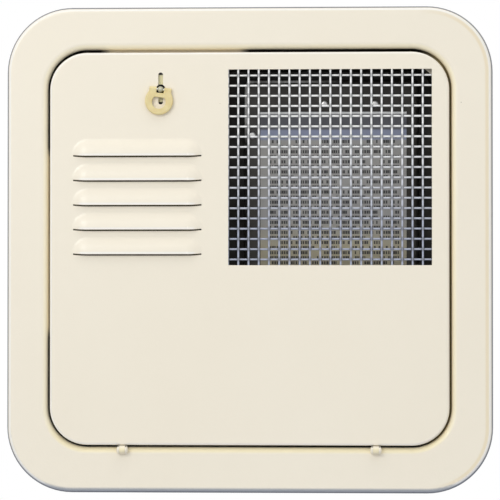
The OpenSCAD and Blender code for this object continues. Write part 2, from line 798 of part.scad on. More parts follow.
// E-shaped clip, open at the top
module retaining_clip() {
  mouth = 1.6 * clip_seat_r;
  hollow_r = 0.9;
  hollow_at = latch_stud_r + 1;
  hollow_turn = 35;
  color(zinc) upright() at_latch(clip_front - clip_t) difference() {
    cylinder(r = latch_stud_r + clip_rim, h = clip_t);
    translate([0, 0, -1]) cylinder(r = clip_seat_r + hole_clear, h = clip_t + 2);
    translate([-mouth / 2, 0, -1]) cube([mouth, 2 * latch_stud_d, clip_t + 2]);
    for (a = [-hollow_turn, 180 + hollow_turn]) rotate([0, 0, a])
      translate([hollow_at, 0, -1]) cylinder(r = hollow_r, h = clip_t + 2);
  }
}

module ring_pin() {
  color(zinc) upright() at_latch(ring_front) rotate([0, 0, -ring_tilt]) rotate([0, 90, 0])
    cylinder(d = ring_pin_d, h = ring_ears_w - 2 * pin_in, center = true);
}

// Disc with a nearly half-round rim, centred on the middle of its thickness
module rounded_disc(d, t) {
  edge = 0.42 * t;
  rotate_extrude() {
    translate([0, -t / 2]) square([d / 2 - edge, t]);
    translate([0, -t / 2 + edge]) square([d / 2, t - 2 * edge]);
    for (s = [-1, 1]) translate([d / 2 - edge, s * (t / 2 - edge)]) circle(edge);
  }
}

module pull_ring() {
  eye_r = ring_eye_d / 2;
  finger_r = finger_w / 2;
  notch_r = latch_stud_r + ring_notch_clear;
  color(nylon) upright() at_latch(ring_front) rotate([0, 0, -ring_tilt]) difference() {
    union() {
      translate([0, -(ring_drop - ring_d / 2), 0]) rounded_disc(ring_d, ring_t);
      translate([-ring_ears_w / 2, -finger_top, -ring_t / 2])
        cube([ring_ears_w, finger_top, ring_t]);
      rotate([0, 90, 0]) cylinder(r = eye_r, h = ring_ears_w, center = true);
    }
    // Finger hole: round below, flat on top
    intersection() {
      translate([0, -(finger_bottom - finger_r), -ring_t]) cylinder(r = finger_r, h = 2 * ring_t);
      translate([-finger_w, -finger_bottom - 1, -ring_t])
        cube([2 * finger_w, finger_bottom + 1 - finger_top, 2 * ring_t]);
    }
    // Notch for the stud and bore for the pin
    translate([-notch_r, -notch_r, -ring_t])
      cube([2 * notch_r, notch_r + 2 * eye_r, 2 * ring_t]);
    rotate([0, 90, 0])
      cylinder(d = ring_pin_d + 2 * run_clear, h = ring_ears_w + 2, center = true);
  }
}

// Flue shield
module shield_screw_top(s) {
  translate([shield_x + s * (shield_w / 2 - shield_screw_in), throat_top, shield_screw_front])
    rotate([-90, 0, 0]) children();
}
module shield_screw_side(s) {
  translate([throat_w / 2, shield_z + s * (shield_h / 2 - shield_screw_in),
    shield_screw_front]) rotate([0, 90, 0]) children();
}
// Clearance hole through the shield's wall and the collar, along z from the joint face
module screw_bore(r) {
  translate([0, 0, -shield_t - 1]) cylinder(r = r + hole_clear, h = shield_t + frame_t + 2);
}
module pan_head_screw(r, grip, tip) {
  head_r = 1.9 * r;
  crown_r = 0.75 * head_r;
  rim_t = 0.7 * r;
  crown_t = 0.5 * r;
  translate([0, 0, -grip - rim_t]) cylinder(r = head_r, h = rim_t);
  translate([0, 0, -grip - rim_t - crown_t]) cylinder(r1 = crown_r, r2 = head_r, h = crown_t);
  translate([0, 0, -grip]) cylinder(r = r, h = grip + tip);
}

// Pan, open under the raised cover
module flue_shield() {
  color(dark_sheet) upright() difference() {
    translate([shield_x, shield_z, 0]) {
      translate([0, 0, shield_back]) linear_extrude(shield_t)
        rounded(shield_w - 2 * pan_edge_r, shield_h - 2 * pan_edge_r,
          shield_corner_r - pan_edge_r);
      swept(shield_w, shield_h, shield_corner_r) {
        translate([-pan_edge_r, shield_back + pan_edge_r]) bend(pan_edge_r, shield_t, 1, -1);
        translate([-shield_t, shield_back + pan_edge_r])
          square([shield_t, shield_front - shield_back - pan_edge_r]);
      }
    }
    translate([cover_x, cover_z, shield_back - 1]) linear_extrude(shield_t + 2)
      rounded(cover_w - 2 * shield_t, cover_h - 2 * shield_t, cover_corner_r - shield_t);
    for (s = [-1, 1]) {
      shield_screw_top(s) screw_bore(shield_screw_r);
      shield_screw_side(s) screw_bore(shield_screw_r);
    }
  }
}

// Raised cover, drawn from one sheet with a flange that is welded to the pan
module flue_cover() {
  foot = shield_back + shield_t;
  color(dark_sheet) upright() difference() {
    translate([cover_x, cover_z, 0]) {
      translate([0, 0, cover_front - shield_t]) linear_extrude(shield_t)
        rounded(cover_w - 2 * cover_edge_r, cover_h - 2 * cover_edge_r,
          cover_corner_r - cover_edge_r);
      swept(cover_w, cover_h, cover_corner_r) {
        translate([-cover_edge_r, cover_front - cover_edge_r])
          bend(cover_edge_r, shield_t, 1, 1);
        translate([-shield_t, foot]) square([shield_t, cover_front - cover_edge_r - foot]);
        translate([-shield_t, foot]) square([shield_t + cover_flange_w, shield_t]);
      }
    }
    for (p = cover_screw_spots) translate([p[0], p[1], cover_front - shield_t - 1])
      cylinder(r = cover_screw_r + hole_clear, h = shield_t + 2);
  }
}

module shield_screws() {
  color(zinc) upright() for (s = [-1, 1]) {
    shield_screw_top(s) pan_head_screw(shield_screw_r, shield_t, frame_t + screw_tip);
    shield_screw_side(s) pan_head_screw(shield_screw_r, shield_t, frame_t + screw_tip);
  }
}

module cover_screws() {
  color(zinc) upright() for (p = cover_screw_spots)
    translate([p[0], p[1], cover_front]) rotate([180, 0, 0])
      pan_head_screw(cover_screw_r, 0, shield_t + screw_tip);
}

module foil_plate() {
  lean = atan(plate_lip_out / plate_lip_h);
  lip_len = sqrt(pow(plate_lip_out, 2) + pow(plate_lip_h, 2));
  color(foil) upright() along_x(plate_left + plate_w / 2, plate_w) {
    translate([plate_bend_z - plate_len, cover_front]) square([plate_len, plate_t]);
    translate([plate_bend_z, cover_front]) rotate(lean) square([lip_len, plate_t]);
    translate([plate_bend_z, cover_front]) intersection() {
      circle(plate_t);
      rotate(lean) square([plate_t, plate_t]);
    }
  }
}

frame();
wall_gasket();
hinge_bracket_left();
hinge_bracket_right();
latch_bracket();
latch_bracket_rivets();
latch_bush();
flue_shield();
flue_cover();
shield_screws();
cover_screws();
foil_plate();
door_panel();
hinge_ears_left();
hinge_ears_right();
hinge_pin_left();
hinge_pin_right();
screen_wires_upright();
screen_wires_level();
screen_retainer();
weld_studs();
push_nuts();
latch_stud();
ring_pin();
wave_washer();
retaining_clip();
pull_ring();
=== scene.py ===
import bpy
import json
import math
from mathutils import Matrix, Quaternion, Vector


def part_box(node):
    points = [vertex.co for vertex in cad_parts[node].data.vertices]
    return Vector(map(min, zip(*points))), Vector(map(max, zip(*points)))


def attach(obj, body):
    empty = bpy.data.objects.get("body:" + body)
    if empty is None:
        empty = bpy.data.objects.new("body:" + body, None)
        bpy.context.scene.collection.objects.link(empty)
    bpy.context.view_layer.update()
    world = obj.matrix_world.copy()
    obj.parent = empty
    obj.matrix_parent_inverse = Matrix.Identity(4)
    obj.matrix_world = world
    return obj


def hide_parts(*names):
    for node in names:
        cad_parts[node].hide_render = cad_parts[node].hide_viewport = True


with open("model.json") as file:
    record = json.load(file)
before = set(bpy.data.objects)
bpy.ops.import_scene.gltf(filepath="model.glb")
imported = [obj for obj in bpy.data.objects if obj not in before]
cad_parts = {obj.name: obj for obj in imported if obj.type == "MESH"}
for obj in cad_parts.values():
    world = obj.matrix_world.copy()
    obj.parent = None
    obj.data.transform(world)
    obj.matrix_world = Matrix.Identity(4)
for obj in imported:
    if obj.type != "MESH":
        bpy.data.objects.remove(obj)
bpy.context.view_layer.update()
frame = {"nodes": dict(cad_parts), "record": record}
cadNodes = frame["nodes"]
print("frame loaded:", len(cadNodes), "nodes")


# Small helpers for objects

def pick(piece):
    bpy.ops.object.select_all(action="DESELECT")
    piece.select_set(True)
    bpy.context.view_layer.objects.active = piece


def applyModifier(piece, kind, **settings):
    pick(piece)
    bpy.ops.object.modifier_add(type=kind)
    modifier = piece.modifiers[-1]
    for name, value in settings.items():
        setattr(modifier, name, value)
    bpy.ops.object.modifier_apply(modifier=modifier.name)


def bakePlace(piece):
    pick(piece)
    bpy.ops.object.transform_apply(location=True, rotation=True, scale=True)


def editMode(piece, selectMode="VERT"):
    pick(piece)
    bpy.ops.object.mode_set(mode="EDIT")
    bpy.ops.mesh.select_mode(type=selectMode)


def objectMode():
    bpy.ops.object.mode_set(mode="OBJECT")


def smoothShade(piece, degrees=35):
    pick(piece)
    bpy.ops.object.shade_smooth_by_angle(angle=math.radians(degrees))


def mergedCopy(node, name):
    # CAD meshes are loose triangles, so the copy's corners are joined first
    piece = cadNodes[node].copy()
    piece.data = cadNodes[node].data.copy()
    piece.name = name
    for key in list(piece.keys()):
        del piece[key]
    piece.parent = None
    bpy.context.scene.collection.objects.link(piece)
    editMode(piece)
    bpy.ops.mesh.select_all(action="SELECT")
    bpy.ops.mesh.remove_doubles(threshold=1e-6)
    objectMode()
    pick(piece)
    bpy.ops.mesh.customdata_custom_splitnormals_clear()
    return piece


def copyTo(piece, name, place, turn=(0, 0, 0)):
    pick(piece)
    bpy.ops.object.duplicate(linked=False)
    twin = bpy.context.object
    twin.name = name
    twin.location = place
    twin.rotation_euler = turn
    bakePlace(twin)
    return twin


def joinAll(pieces, name):
    pick(pieces[0])
    for other in pieces[1:]:
        other.select_set(True)
    bpy.ops.object.join()
    pieces[0].name = name
    return pieces[0]


def settle(piece, body, slot, material, *nodes):
    # last step of each new piece: its finish, its body and what it stands for
    piece.data.materials.clear()
    piece.data.materials.append(material)
    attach(piece, body)
    if nodes:
        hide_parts(*nodes)


# Small helpers for shader nodes

def addNode(tree, kind, inputs=None, **settings):
    node = tree.nodes.new(kind)
    for name, value in settings.items():
        setattr(node, name, value)
    for name, value in (inputs or {}).items():
        if isinstance(value, bpy.types.NodeSocket):
            tree.links.new(value, node.inputs[name])
        else:
            node.inputs[name].default_value = value
    return node


def startGroup(name, inputs, outputs):
    group = bpy.data.node_groups.new(name, "ShaderNodeTree")
    for socketName, kind, value in inputs:
        socket = group.interface.new_socket(socketName, in_out="INPUT", socket_type=kind)
        if value is not None:
            socket.default_value = value
    for socketName, kind in outputs:
        group.interface.new_socket(socketName, in_out="OUTPUT", socket_type=kind)
    return group, addNode(group, "NodeGroupInput"), addNode(group, "NodeGroupOutput")


def useGroup(tree, group, **inputs):
    return addNode(tree, "ShaderNodeGroup", inputs, node_tree=group)


def startMaterial(name, **plain):
    material = bpy.data.materials.new(name)
    material.use_nodes = True
    tree = material.node_tree
    shader = tree.nodes["Principled BSDF"]
    for socketName, value in plain.items():
        shader.inputs[socketName.replace("_", " ")].default_value = value
    coords = addNode(tree, "ShaderNodeTexCoord").outputs["Object"]
    return material, tree, shader, coords


def blendColour(tree, mask, first, second, how="MIX"):
    mix = addNode(tree, "ShaderNodeMix", data_type="RGBA", blend_type=how)
    for socket, value in ((mix.inputs[0], mask), (mix.inputs[6], first), (mix.inputs[7], second)):
        if isinstance(value, bpy.types.NodeSocket):
            tree.links.new(value, socket)
        else:
            socket.default_value = value if isinstance(value, float) else (*value, 1)
    return mix.outputs[2]


def stretch(tree, value, low, high, newLow=0.0, newHigh=1.0):
    node = addNode(tree, "ShaderNodeMapRange", {"Value": value, "From Min": low, "From Max": high,
                                                 "To Min": newLow, "To Max": newHigh})
    return node.outputs[0]


def calc(tree, operation, first, second=0.0):
    return addNode(tree, "ShaderNodeMath", {0: first, 1: second}, operation=operation).outputs[0]


def product(tree, *masks):
    result = masks[0]
    for mask in masks[1:]:
        result = calc(tree, "MULTIPLY", result, mask)
    return result


def giveBump(tree, shader, height, strength, distance):
    bump = addNode(tree, "ShaderNodeBump",
                   {"Height": height, "Strength": strength, "Distance": distance})
    tree.links.new(bump.outputs["Normal"], shader.inputs["Normal"])


# Effects that several finishes share

def makeCloudGroup():
    # soft patches, as a mask from 0 to 1
    group, given, result = startGroup(
        "soft_patches",
        [("Vector", "NodeSocketVector", None), ("Scale", "NodeSocketFloat", 10.0),
         ("Detail", "NodeSocketFloat", 4.0), ("Contrast", "NodeSocketFloat", 2.0)],
        [("Mask", "NodeSocketFloat")])
    noise = addNode(group, "ShaderNodeTexNoise",
                    {"Vector": given.outputs["Vector"], "Scale": given.outputs["Scale"],
                     "Detail": given.outputs["Detail"]})
    centred = calc(group, "SUBTRACT", noise.outputs["Fac"], 0.5)
    wider = calc(group, "MULTIPLY", centred, given.outputs["Contrast"])
    mask = addNode(group, "ShaderNodeMath", {0: wider, 1: 0.5}, operation="ADD", use_clamp=True)
    group.links.new(mask.outputs[0], result.inputs["Mask"])
    return group


def makeSpeckGroup():
    # a few small round specks, each in its own cell
    group, given, result = startGroup(
        "dust_specks",
        [("Vector", "NodeSocketVector", None), ("Scale", "NodeSocketFloat", 50.0),
         ("Share", "NodeSocketFloat", 0.1), ("Size", "NodeSocketFloat", 0.1)],
        [("Mask", "NodeSocketFloat")])
    cells = addNode(group, "ShaderNodeTexVoronoi",
                    {"Vector": given.outputs["Vector"], "Scale": given.outputs["Scale"]})
    luck = addNode(group, "ShaderNodeSeparateColor", {"Color": cells.outputs["Color"]})
    chosen = calc(group, "LESS_THAN", luck.outputs[0], given.outputs["Share"])
    reach = calc(group, "MULTIPLY", luck.outputs[1], given.outputs["Size"])
    inside = calc(group, "LESS_THAN", cells.outputs["Distance"], reach)
    group.links.new(calc(group, "MULTIPLY", chosen, inside), result.inputs["Mask"])
    return group


def makeScratchGroup():
    # fine lines along one direction, wandering a little
    group, given, result = startGroup(
        "fine_scratches",
        [("Vector", "NodeSocketVector", None), ("Stretch", "NodeSocketVector", (1, 1, 1)),
         ("Scale", "NodeSocketFloat", 300.0)],
        [("Mask", "NodeSocketFloat")])
    drawn = addNode(group, "ShaderNodeVectorMath",
                    {0: given.outputs["Vector"], 1: given.outputs["Stretch"]},
                    operation="MULTIPLY")
    noise = addNode(group, "ShaderNodeTexNoise",
                    {"Vector": drawn.outputs[0], "Scale": given.outputs["Scale"],
                     "Detail": 3.0, "Distortion": 0.3})
    group.links.new(noise.outputs["Fac"], result.inputs["Mask"])
    return group


def makeOutlineGroup():
    # distance from a rounded rectangle seen from the front: above zero outside, below zero inside
    group, given, result = startGroup(
        "outline_distance",
        [("Vector", "NodeSocketVector", None), ("Half Width", "NodeSocketFloat", 0.1),
         ("Half Height", "NodeSocketFloat", 0.1), ("Corner", "NodeSocketFloat", 0.01),
         ("Middle X", "NodeSocketFloat", 0.0), ("Middle Z", "NodeSocketFloat", 0.0)],
        [("Distance", "NodeSocketFloat"), ("Depth", "NodeSocketFloat")])
    place = addNode(group, "ShaderNodeSeparateXYZ", {"Vector": given.outputs["Vector"]})
    beyond = []
    for axis, half, middle in ((0, "Half Width", "Middle X"), (2, "Half Height", "Middle Z")):
        offset = calc(group, "SUBTRACT", place.outputs[axis], given.outputs[middle])
        straight = calc(group, "SUBTRACT", given.outputs[half], given.outputs["Corner"])
        beyond.append(calc(group, "SUBTRACT", calc(group, "ABSOLUTE", offset), straight))
    corner = addNode(group, "ShaderNodeCombineXYZ",
                     {0: calc(group, "MAXIMUM", beyond[0]), 1: calc(group, "MAXIMUM", beyond[1])})
    outside = addNode(group, "ShaderNodeVectorMath", {0: corner.outputs[0]}, operation="LENGTH")
    inside = calc(group, "MINIMUM", calc(group, "MAXIMUM", beyond[0], beyond[1]))
    distance = calc(group, "SUBTRACT", calc(group, "ADD", outside.outputs["Value"], inside),
                    given.outputs["Corner"])
    group.links.new(distance, result.inputs["Distance"])
    group.links.new(place.outputs[1], result.inputs["Depth"])
    return group


clouds = makeCloudGroup()
specks = makeSpeckGroup()
scratches = makeScratchGroup()
outlines = makeOutlineGroup()

# Finishes

creamLook = {
    "light": (0.925, 0.842, 0.672),
    "deep": (0.90, 0.812, 0.637),
    "speck": (0.32, 0.24, 0.13),
    "patchScale": 6.0,
    "peelScale": 620.0,
    "peelDepth": 0.00006,
    "bright": (0.97, 0.94, 0.86),  # where an edge catches the light
    "gapShade": (0.012, 0.009, 0.004),  # painted shade in the gap round the door
    "stainAndPaleShade": (0.46, 0.36, 0.17),  # lighter painted shade in the gap, on the right
    "rim": (0.085, 0.095, 0.125),  # painted shade along the frame's edge at the wall
    # painted tan shade on the bend of the opening's lower lip
    "tan": (0.90, 0.78, 0.48),
    # painted warm light on the opening's lip
    "lip": (0.99, 0.89, 0.64),
    # painted shade inside the edge, on the right
    "rightEdgeShade": (0.84, 0.71, 0.47),
    # painted shade on the bottom roll: underside and lowBand
    "underside": (0.24, 0.27, 0.34),
    "lowBand": (0.37, 0.385, 0.40),
}
openingMiddle = frame["record"]["mounts"][2]["pos_m"][2]


def startCream(name):
    material, tree, shader, coords = startMaterial(
        name, Coat_Weight=0.25, Coat_Roughness=0.16, IOR=1.48)
    patches = useGroup(tree, clouds, Vector=coords, Scale=creamLook["patchScale"], Contrast=1.6)
    colour = blendColour(tree, patches.outputs["Mask"], creamLook["light"], creamLook["deep"])
    dust = useGroup(tree, specks, Vector=coords, Scale=42.0, Share=0.05, Size=0.035)
    colour = blendColour(tree, dust.outputs["Mask"], colour, creamLook["speck"])
    gloss = useGroup(tree, clouds, Vector=coords, Scale=35.0, Contrast=1.2)
    tree.links.new(stretch(tree, gloss.outputs["Mask"], 0, 1, 0.34, 0.44), shader.inputs["Roughness"])
    peel = useGroup(tree, clouds, Vector=coords, Scale=creamLook["peelScale"], Detail=2.0)
    giveBump(tree, shader, peel.outputs["Mask"], 0.35, creamLook["peelDepth"])
    return material, tree, shader, coords, colour


def makeCreamPaint():
    material, tree, shader, coords, colour = startCream("cream_enamel")
    tree.links.new(colour, shader.inputs["Base Color"])
    return material


framePaintedLight = {
    "rim": (-0.0014, -0.0010),
    "rightShadeBand": (-0.0060, -0.0036),  # painted shade: tan band inside the edge, on the right only
    "rightShadeSide": (0.135, 0.170),
    "highlight": (-0.0031, -0.0016),  # painted highlight: bright line inside the rim
    "lowBand": (-0.0040, -0.0015),  # painted shade: grey band that takes the painted highlight's place along the bottom
    "lowBandTop": (0.184, 0.190),  # depth below the middle over which it sets in
    "lipBand": (0.0000, 0.0036),  # painted light: the opening's lip, paler and warmer
    "underside": (-0.10, -0.50),  # downward normals over which the bottom roll gets painted grey shade
    "openingCorner": 0.0314,
    "openingEdge": 0.1598,
    "openingHigh": 0.1575,
    "litTop": (-0.115, -0.004),  # stretch of the top gap left lit, without painted shade
    "litLeft": (-0.066, 0.078),  # stretch of the left gap left lit, without painted shade
    "litFade": 0.004,
    # across the door, where the painted shade in the gap turns lighter
    "paleShadeSide": (0.135, 0.150),
    "gapBand": (-0.0042, 0.0004),  # distances from the opening's edge that the painted shade covers
    "gapDepth": (-0.0012, 0.0061),  # depths that it covers
}


def between(tree, value, span, fade):
    rise = stretch(tree, value, span[0] - fade, span[0] + fade)
    fall = stretch(tree, value, span[1] + fade, span[1] - fade)
    return calc(tree, "MULTIPLY", rise, fall)


def litGapStretches(tree, across, up):
    # parts of the gap round the door that are left lit, without painted shade
    top = product(tree, between(tree, across, framePaintedLight["litTop"], framePaintedLight["litFade"]),
                  stretch(tree, up, 0.14, 0.145))
    left = product(tree, between(tree, up, framePaintedLight["litLeft"], framePaintedLight["litFade"]),
                   stretch(tree, across, -0.14, -0.145))
    return calc(tree, "MAXIMUM", top, left)


def layPaintedShade(tree, shader, mask, colour, across):
    # painted shade: dark and matt, over the enamel's own gloss
    tree.links.new(stretch(tree, mask, 0, 1, 0.25, 0), shader.inputs["Coat Weight"])
    tree.links.new(stretch(tree, mask, 0, 1, 0.5, 0.05), shader.inputs["Specular IOR Level"])
    dark = blendColour(tree, stretch(tree, across, *framePaintedLight["paleShadeSide"]),
                       creamLook["gapShade"], creamLook["stainAndPaleShade"])
    return blendColour(tree, mask, colour, dark)


def makeFramePaint():
    # the same enamel, with painted shade at the wall's edge, on the outer roll and in the gap round the
    # door, and painted highlight and warm light on the rim and the opening's lip
    low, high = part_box("frame")
    material, tree, shader, coords, colour = startCream("cream_enamel_frame")
    outer = useGroup(tree, outlines, **{"Vector": coords, "Half Width": high.x, "Half Height": high.z,
                                        "Corner": 0.052})
    facing = addNode(tree, "ShaderNodeSeparateXYZ",
                     {"Vector": addNode(tree, "ShaderNodeNewGeometry").outputs["Normal"]})
    # painted shade on the bottom roll, where its normals face down
    below = product(tree, stretch(tree, facing.outputs[2], *framePaintedLight["underside"]),
                    stretch(tree, outer.outputs["Distance"], -0.006, -0.004))
    colour = blendColour(tree, product(tree, below, 0.85), colour, creamLook["underside"])
    place = addNode(tree, "ShaderNodeSeparateXYZ", {"Vector": coords})
    across, up = place.outputs[0], place.outputs[2]
    low = stretch(tree, calc(tree, "MULTIPLY", up, -1.0), *framePaintedLight["lowBandTop"])
    # painted highlight inside the rim, left off along the bottom
    shine = product(tree, between(tree, outer.outputs["Distance"], framePaintedLight["highlight"], 0.0003),
                    calc(tree, "SUBTRACT", 1.0, low))
    colour = blendColour(tree, product(tree, shine, 0.7), colour, creamLook["bright"])
    # painted grey shade along the bottom roll, in place of the highlight
    lowBand = product(tree, between(tree, outer.outputs["Distance"], framePaintedLight["lowBand"], 0.0007), low)
    colour = blendColour(tree, product(tree, lowBand, 0.85), colour, creamLook["lowBand"])
    # painted tan shade inside the outer edge, on the right
    rightEdgeShade = product(tree, between(tree, outer.outputs["Distance"], framePaintedLight["rightShadeBand"], 0.0006),
                    stretch(tree, across, *framePaintedLight["rightShadeSide"]))
    colour = blendColour(tree, product(tree, rightEdgeShade, calc(tree, "SUBTRACT", 1.0, low), 0.8), colour,
                         creamLook["rightEdgeShade"])
    # painted dark shade along the outer edge at the wall
    rim = stretch(tree, outer.outputs["Distance"], *framePaintedLight["rim"])
    colour = blendColour(tree, product(tree, rim, 0.9), colour, creamLook["rim"])
    opening = useGroup(tree, outlines, **{
        "Vector": coords, "Half Width": framePaintedLight["openingEdge"], "Half Height": framePaintedLight["openingHigh"],
        "Corner": framePaintedLight["openingCorner"], "Middle Z": openingMiddle})
    # painted warm light on the opening's lip
    lip = between(tree, opening.outputs["Distance"], framePaintedLight["lipBand"], 0.0008)
    colour = blendColour(tree, product(tree, lip, 0.9), colour, creamLook["lip"])
    # painted tan shade on the bend of the opening's lower lip
    lowLip = product(tree, between(tree, opening.outputs["Distance"], (0.0004, 0.0044), 0.0009),
                     stretch(tree, up, -0.135, -0.150))
    colour = blendColour(tree, product(tree, lowLip, 0.75), colour, creamLook["tan"])
    # painted shade in the gap round the door, patchy, and left off the lit stretches
    nearDoor = between(tree, opening.outputs["Distance"], framePaintedLight["gapBand"], 0.0005)
    deep = between(tree, opening.outputs["Depth"], framePaintedLight["gapDepth"], 0.0004)
    gapShadeMask = calc(tree, "SUBTRACT", 1.0, litGapStretches(tree, across, up))
    patchy = useGroup(tree, clouds, Vector=coords, Scale=55.0, Contrast=2.0)
    gapShadeMask = product(tree, nearDoor, deep, gapShadeMask, stretch(tree, patchy.outputs["Mask"], 0, 0.4, 0.85, 1))
    colour = layPaintedShade(tree, shader, gapShadeMask, colour, across)
    tree.links.new(colour, shader.inputs["Base Color"])
    return material


earShade = {"band": (-0.0012, 0.0004), "strength": 0.75}  # painted shadow band, in heights from the door's lower edge


def makeEarPaint():
    # the same enamel, with painted shadow just below the door's edge
    material, tree, shader, coords, colour = startCream("cream_enamel_ears")
    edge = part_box("door_panel")[0].z
    up = addNode(tree, "ShaderNodeSeparateXYZ", {"Vector": coords}).outputs[2]
    band = between(tree, up, [edge + reach for reach in earShade["band"]], 0.0002)
    colour = blendColour(tree, product(tree, band, earShade["strength"]), colour, creamLook["gapShade"])
    tree.links.new(colour, shader.inputs["Base Color"])
    return material


doorHighlights = {
    "corner": 0.0297,
    "crown": (-0.0095, -0.0103),  # forward places between which a hood's lip gets a painted highlight
    "lipWidth": 0.0011,
    "louvrePitch": 0.0195,
    "louvreLine": 0.07535,  # height of the top louvre's lip
}


def makeDoorPaint():
    # the same enamel, with painted shade on the door's returns and painted highlights on its edges, except
    # on the right, and on the louvres' lips
    low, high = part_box("door_panel")
    material, tree, shader, coords, colour = startCream("cream_enamel_door")
    outer = useGroup(tree, outlines, **{
        "Vector": coords, "Half Width": high.x, "Half Height": (high.z - low.z) / 2,
        "Corner": doorHighlights["corner"], "Middle Z": (high.z + low.z) / 2})
    edge = between(tree, outer.outputs["Distance"], (-0.0015, -0.0004), 0.0003)
    front = stretch(tree, outer.outputs["Depth"], -0.0052, -0.0060)
    place = addNode(tree, "ShaderNodeSeparateXYZ", {"Vector": coords})
    row = calc(tree, "DIVIDE", calc(tree, "SUBTRACT", place.outputs[2], doorHighlights["louvreLine"] - 0.0012),
               doorHighlights["louvrePitch"])
    width = (doorHighlights["lipWidth"] + 0.0012) / doorHighlights["louvrePitch"]
    crown = product(tree, stretch(tree, outer.outputs["Depth"], *doorHighlights["crown"]),
                    stretch(tree, calc(tree, "FRACT", row), width, width * 0.8))
    onLeft = stretch(tree, place.outputs[0], 0.150, 0.130)
    # painted highlights on the door's edges, except on the right, and on the louvres' lips
    bright = calc(tree, "MAXIMUM", product(tree, edge, front, onLeft, 0.75), product(tree, crown, 0.55))
    colour = blendColour(tree, bright, colour, creamLook["bright"])
    gapShadeMask = calc(tree, "SUBTRACT", 1.0, litGapStretches(tree, place.outputs[0], place.outputs[2]))
    # painted shade on the door's returns in the gap, left off the lit stretches
    sides = product(tree, stretch(tree, outer.outputs["Distance"], -0.0008, -0.0002),
                    stretch(tree, outer.outputs["Depth"], -0.0060, -0.0030), gapShadeMask)
    colour = layPaintedShade(tree, shader, sides, colour, place.outputs[0])
    tree.links.new(colour, shader.inputs["Base Color"])
    return material


wireLook = {
    # painted light: upper near the top, lower darker and bluish lower down
    "upper": (0.97, 0.96, 0.91),
    "lower": (0.40, 0.43, 0.52),
    "patch": (0.42, 0.43, 0.45),
    "crossing": (0.14, 0.14, 0.15),
    "crossingReach": 0.0024,
}
wireLow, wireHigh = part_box("screen_wires_upright")
levelLow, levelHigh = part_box("screen_wires_level")
wireSize = wireHigh.y - wireLow.y
wireCount = 21
wirePitchX = (wireHigh.x - wireLow.x - wireSize) / (wireCount - 1)
wirePitchZ = (levelHigh.z - levelLow.z - wireSize) / (wireCount - 1)


def makeZincWire(name, axis, first, pitch, crossingDarkness):
    # painted light: brighter near the top and darker lower down; also darker near each crossing
    material, tree, shader, coords = startMaterial(name, Metallic=0.3)
    place = addNode(tree, "ShaderNodeSeparateXYZ", {"Vector": coords})
    # painted light: lighter towards the top
    height = stretch(tree, place.outputs[2], 0.015, 0.095)
    colour = blendColour(tree, height, wireLook["lower"], wireLook["upper"])
    spangle = useGroup(tree, clouds, Vector=coords, Scale=240.0, Contrast=2.2)
    colour = blendColour(tree, product(tree, spangle.outputs["Mask"], 0.25), colour, wireLook["patch"])
    steps = calc(tree, "DIVIDE", calc(tree, "SUBTRACT", place.outputs[axis], first), pitch)
    fromCrossing = calc(tree, "ABSOLUTE", calc(tree, "SUBTRACT", calc(tree, "ROUND", steps), steps))
    reach = wireLook["crossingReach"] / pitch
    nearCrossing = stretch(tree, fromCrossing, reach, reach * 0.4)
    colour = blendColour(tree, product(tree, nearCrossing, crossingDarkness), colour, wireLook["crossing"])
    tree.links.new(colour, shader.inputs["Base Color"])
    tree.links.new(stretch(tree, spangle.outputs["Mask"], 0, 1, 0.36, 0.55), shader.inputs["Roughness"])
    runs = useGroup(tree, clouds, Vector=coords, Scale=700.0, Detail=2.0)
    giveBump(tree, shader, runs.outputs["Mask"], 0.5, 0.0001)
    return material


def makeDullZinc():
    material, tree, shader, coords = startMaterial("dull_zinc", Metallic=0.6)
    tarnish = useGroup(tree, clouds, Vector=coords, Scale=500.0, Contrast=3.0)
    colour = blendColour(tree, tarnish.outputs["Mask"], (0.30, 0.30, 0.31), (0.16, 0.16, 0.17))
    tree.links.new(colour, shader.inputs["Base Color"])
    tree.links.new(stretch(tree, tarnish.outputs["Mask"], 0, 1, 0.5, 0.7), shader.inputs["Roughness"])
    giveBump(tree, shader, tarnish.outputs["Mask"], 0.6, 0.0001)
    return material


def makePlatedSteel():
    material, tree, shader, coords = startMaterial("zinc_plate", Metallic=1.0)
    haze = useGroup(tree, clouds, Vector=coords, Scale=180.0, Contrast=2.0)
    colour = blendColour(tree, haze.outputs["Mask"], (0.80, 0.80, 0.81), (0.66, 0.66, 0.64))
    tree.links.new(colour, shader.inputs["Base Color"])
    tree.links.new(stretch(tree, haze.outputs["Mask"], 0, 1, 0.24, 0.42), shader.inputs["Roughness"])
    lines = useGroup(tree, scratches, Vector=coords, Stretch=(1, 1, 6), Scale=500.0)
    giveBump(tree, shader, lines.outputs["Mask"], 0.25, 0.00005)
    return material


def startDarkSheet(name):
    material, tree, shader, coords = startMaterial(name, Metallic=0.35)
    stainAndPaleShade = useGroup(tree, clouds, Vector=coords, Scale=18.0, Contrast=2.4)
    colour = blendColour(tree, stainAndPaleShade.outputs["Mask"], (0.054, 0.051, 0.046), (0.030, 0.026, 0.020))
    soot = useGroup(tree, clouds, Vector=coords, Scale=90.0, Contrast=3.0)
    sootMask = stretch(tree, soot.outputs["Mask"], 0.55, 1, 0, 0.5)
    colour = blendColour(tree, sootMask, colour, (0.025, 0.022, 0.02))
    tree.links.new(stretch(tree, stainAndPaleShade.outputs["Mask"], 0, 1, 0.42, 0.6), shader.inputs["Roughness"])
    drawn = useGroup(tree, scratches, Vector=coords, Stretch=(1, 1, 14), Scale=120.0)
    giveBump(tree, shader, drawn.outputs["Mask"], 0.3, 0.0001)
    return material, tree, shader, coords, colour


def makeDarkSheet():
    material, tree, shader, coords, colour = startDarkSheet("heat_stained_sheet")
    tree.links.new(colour, shader.inputs["Base Color"])
    return material


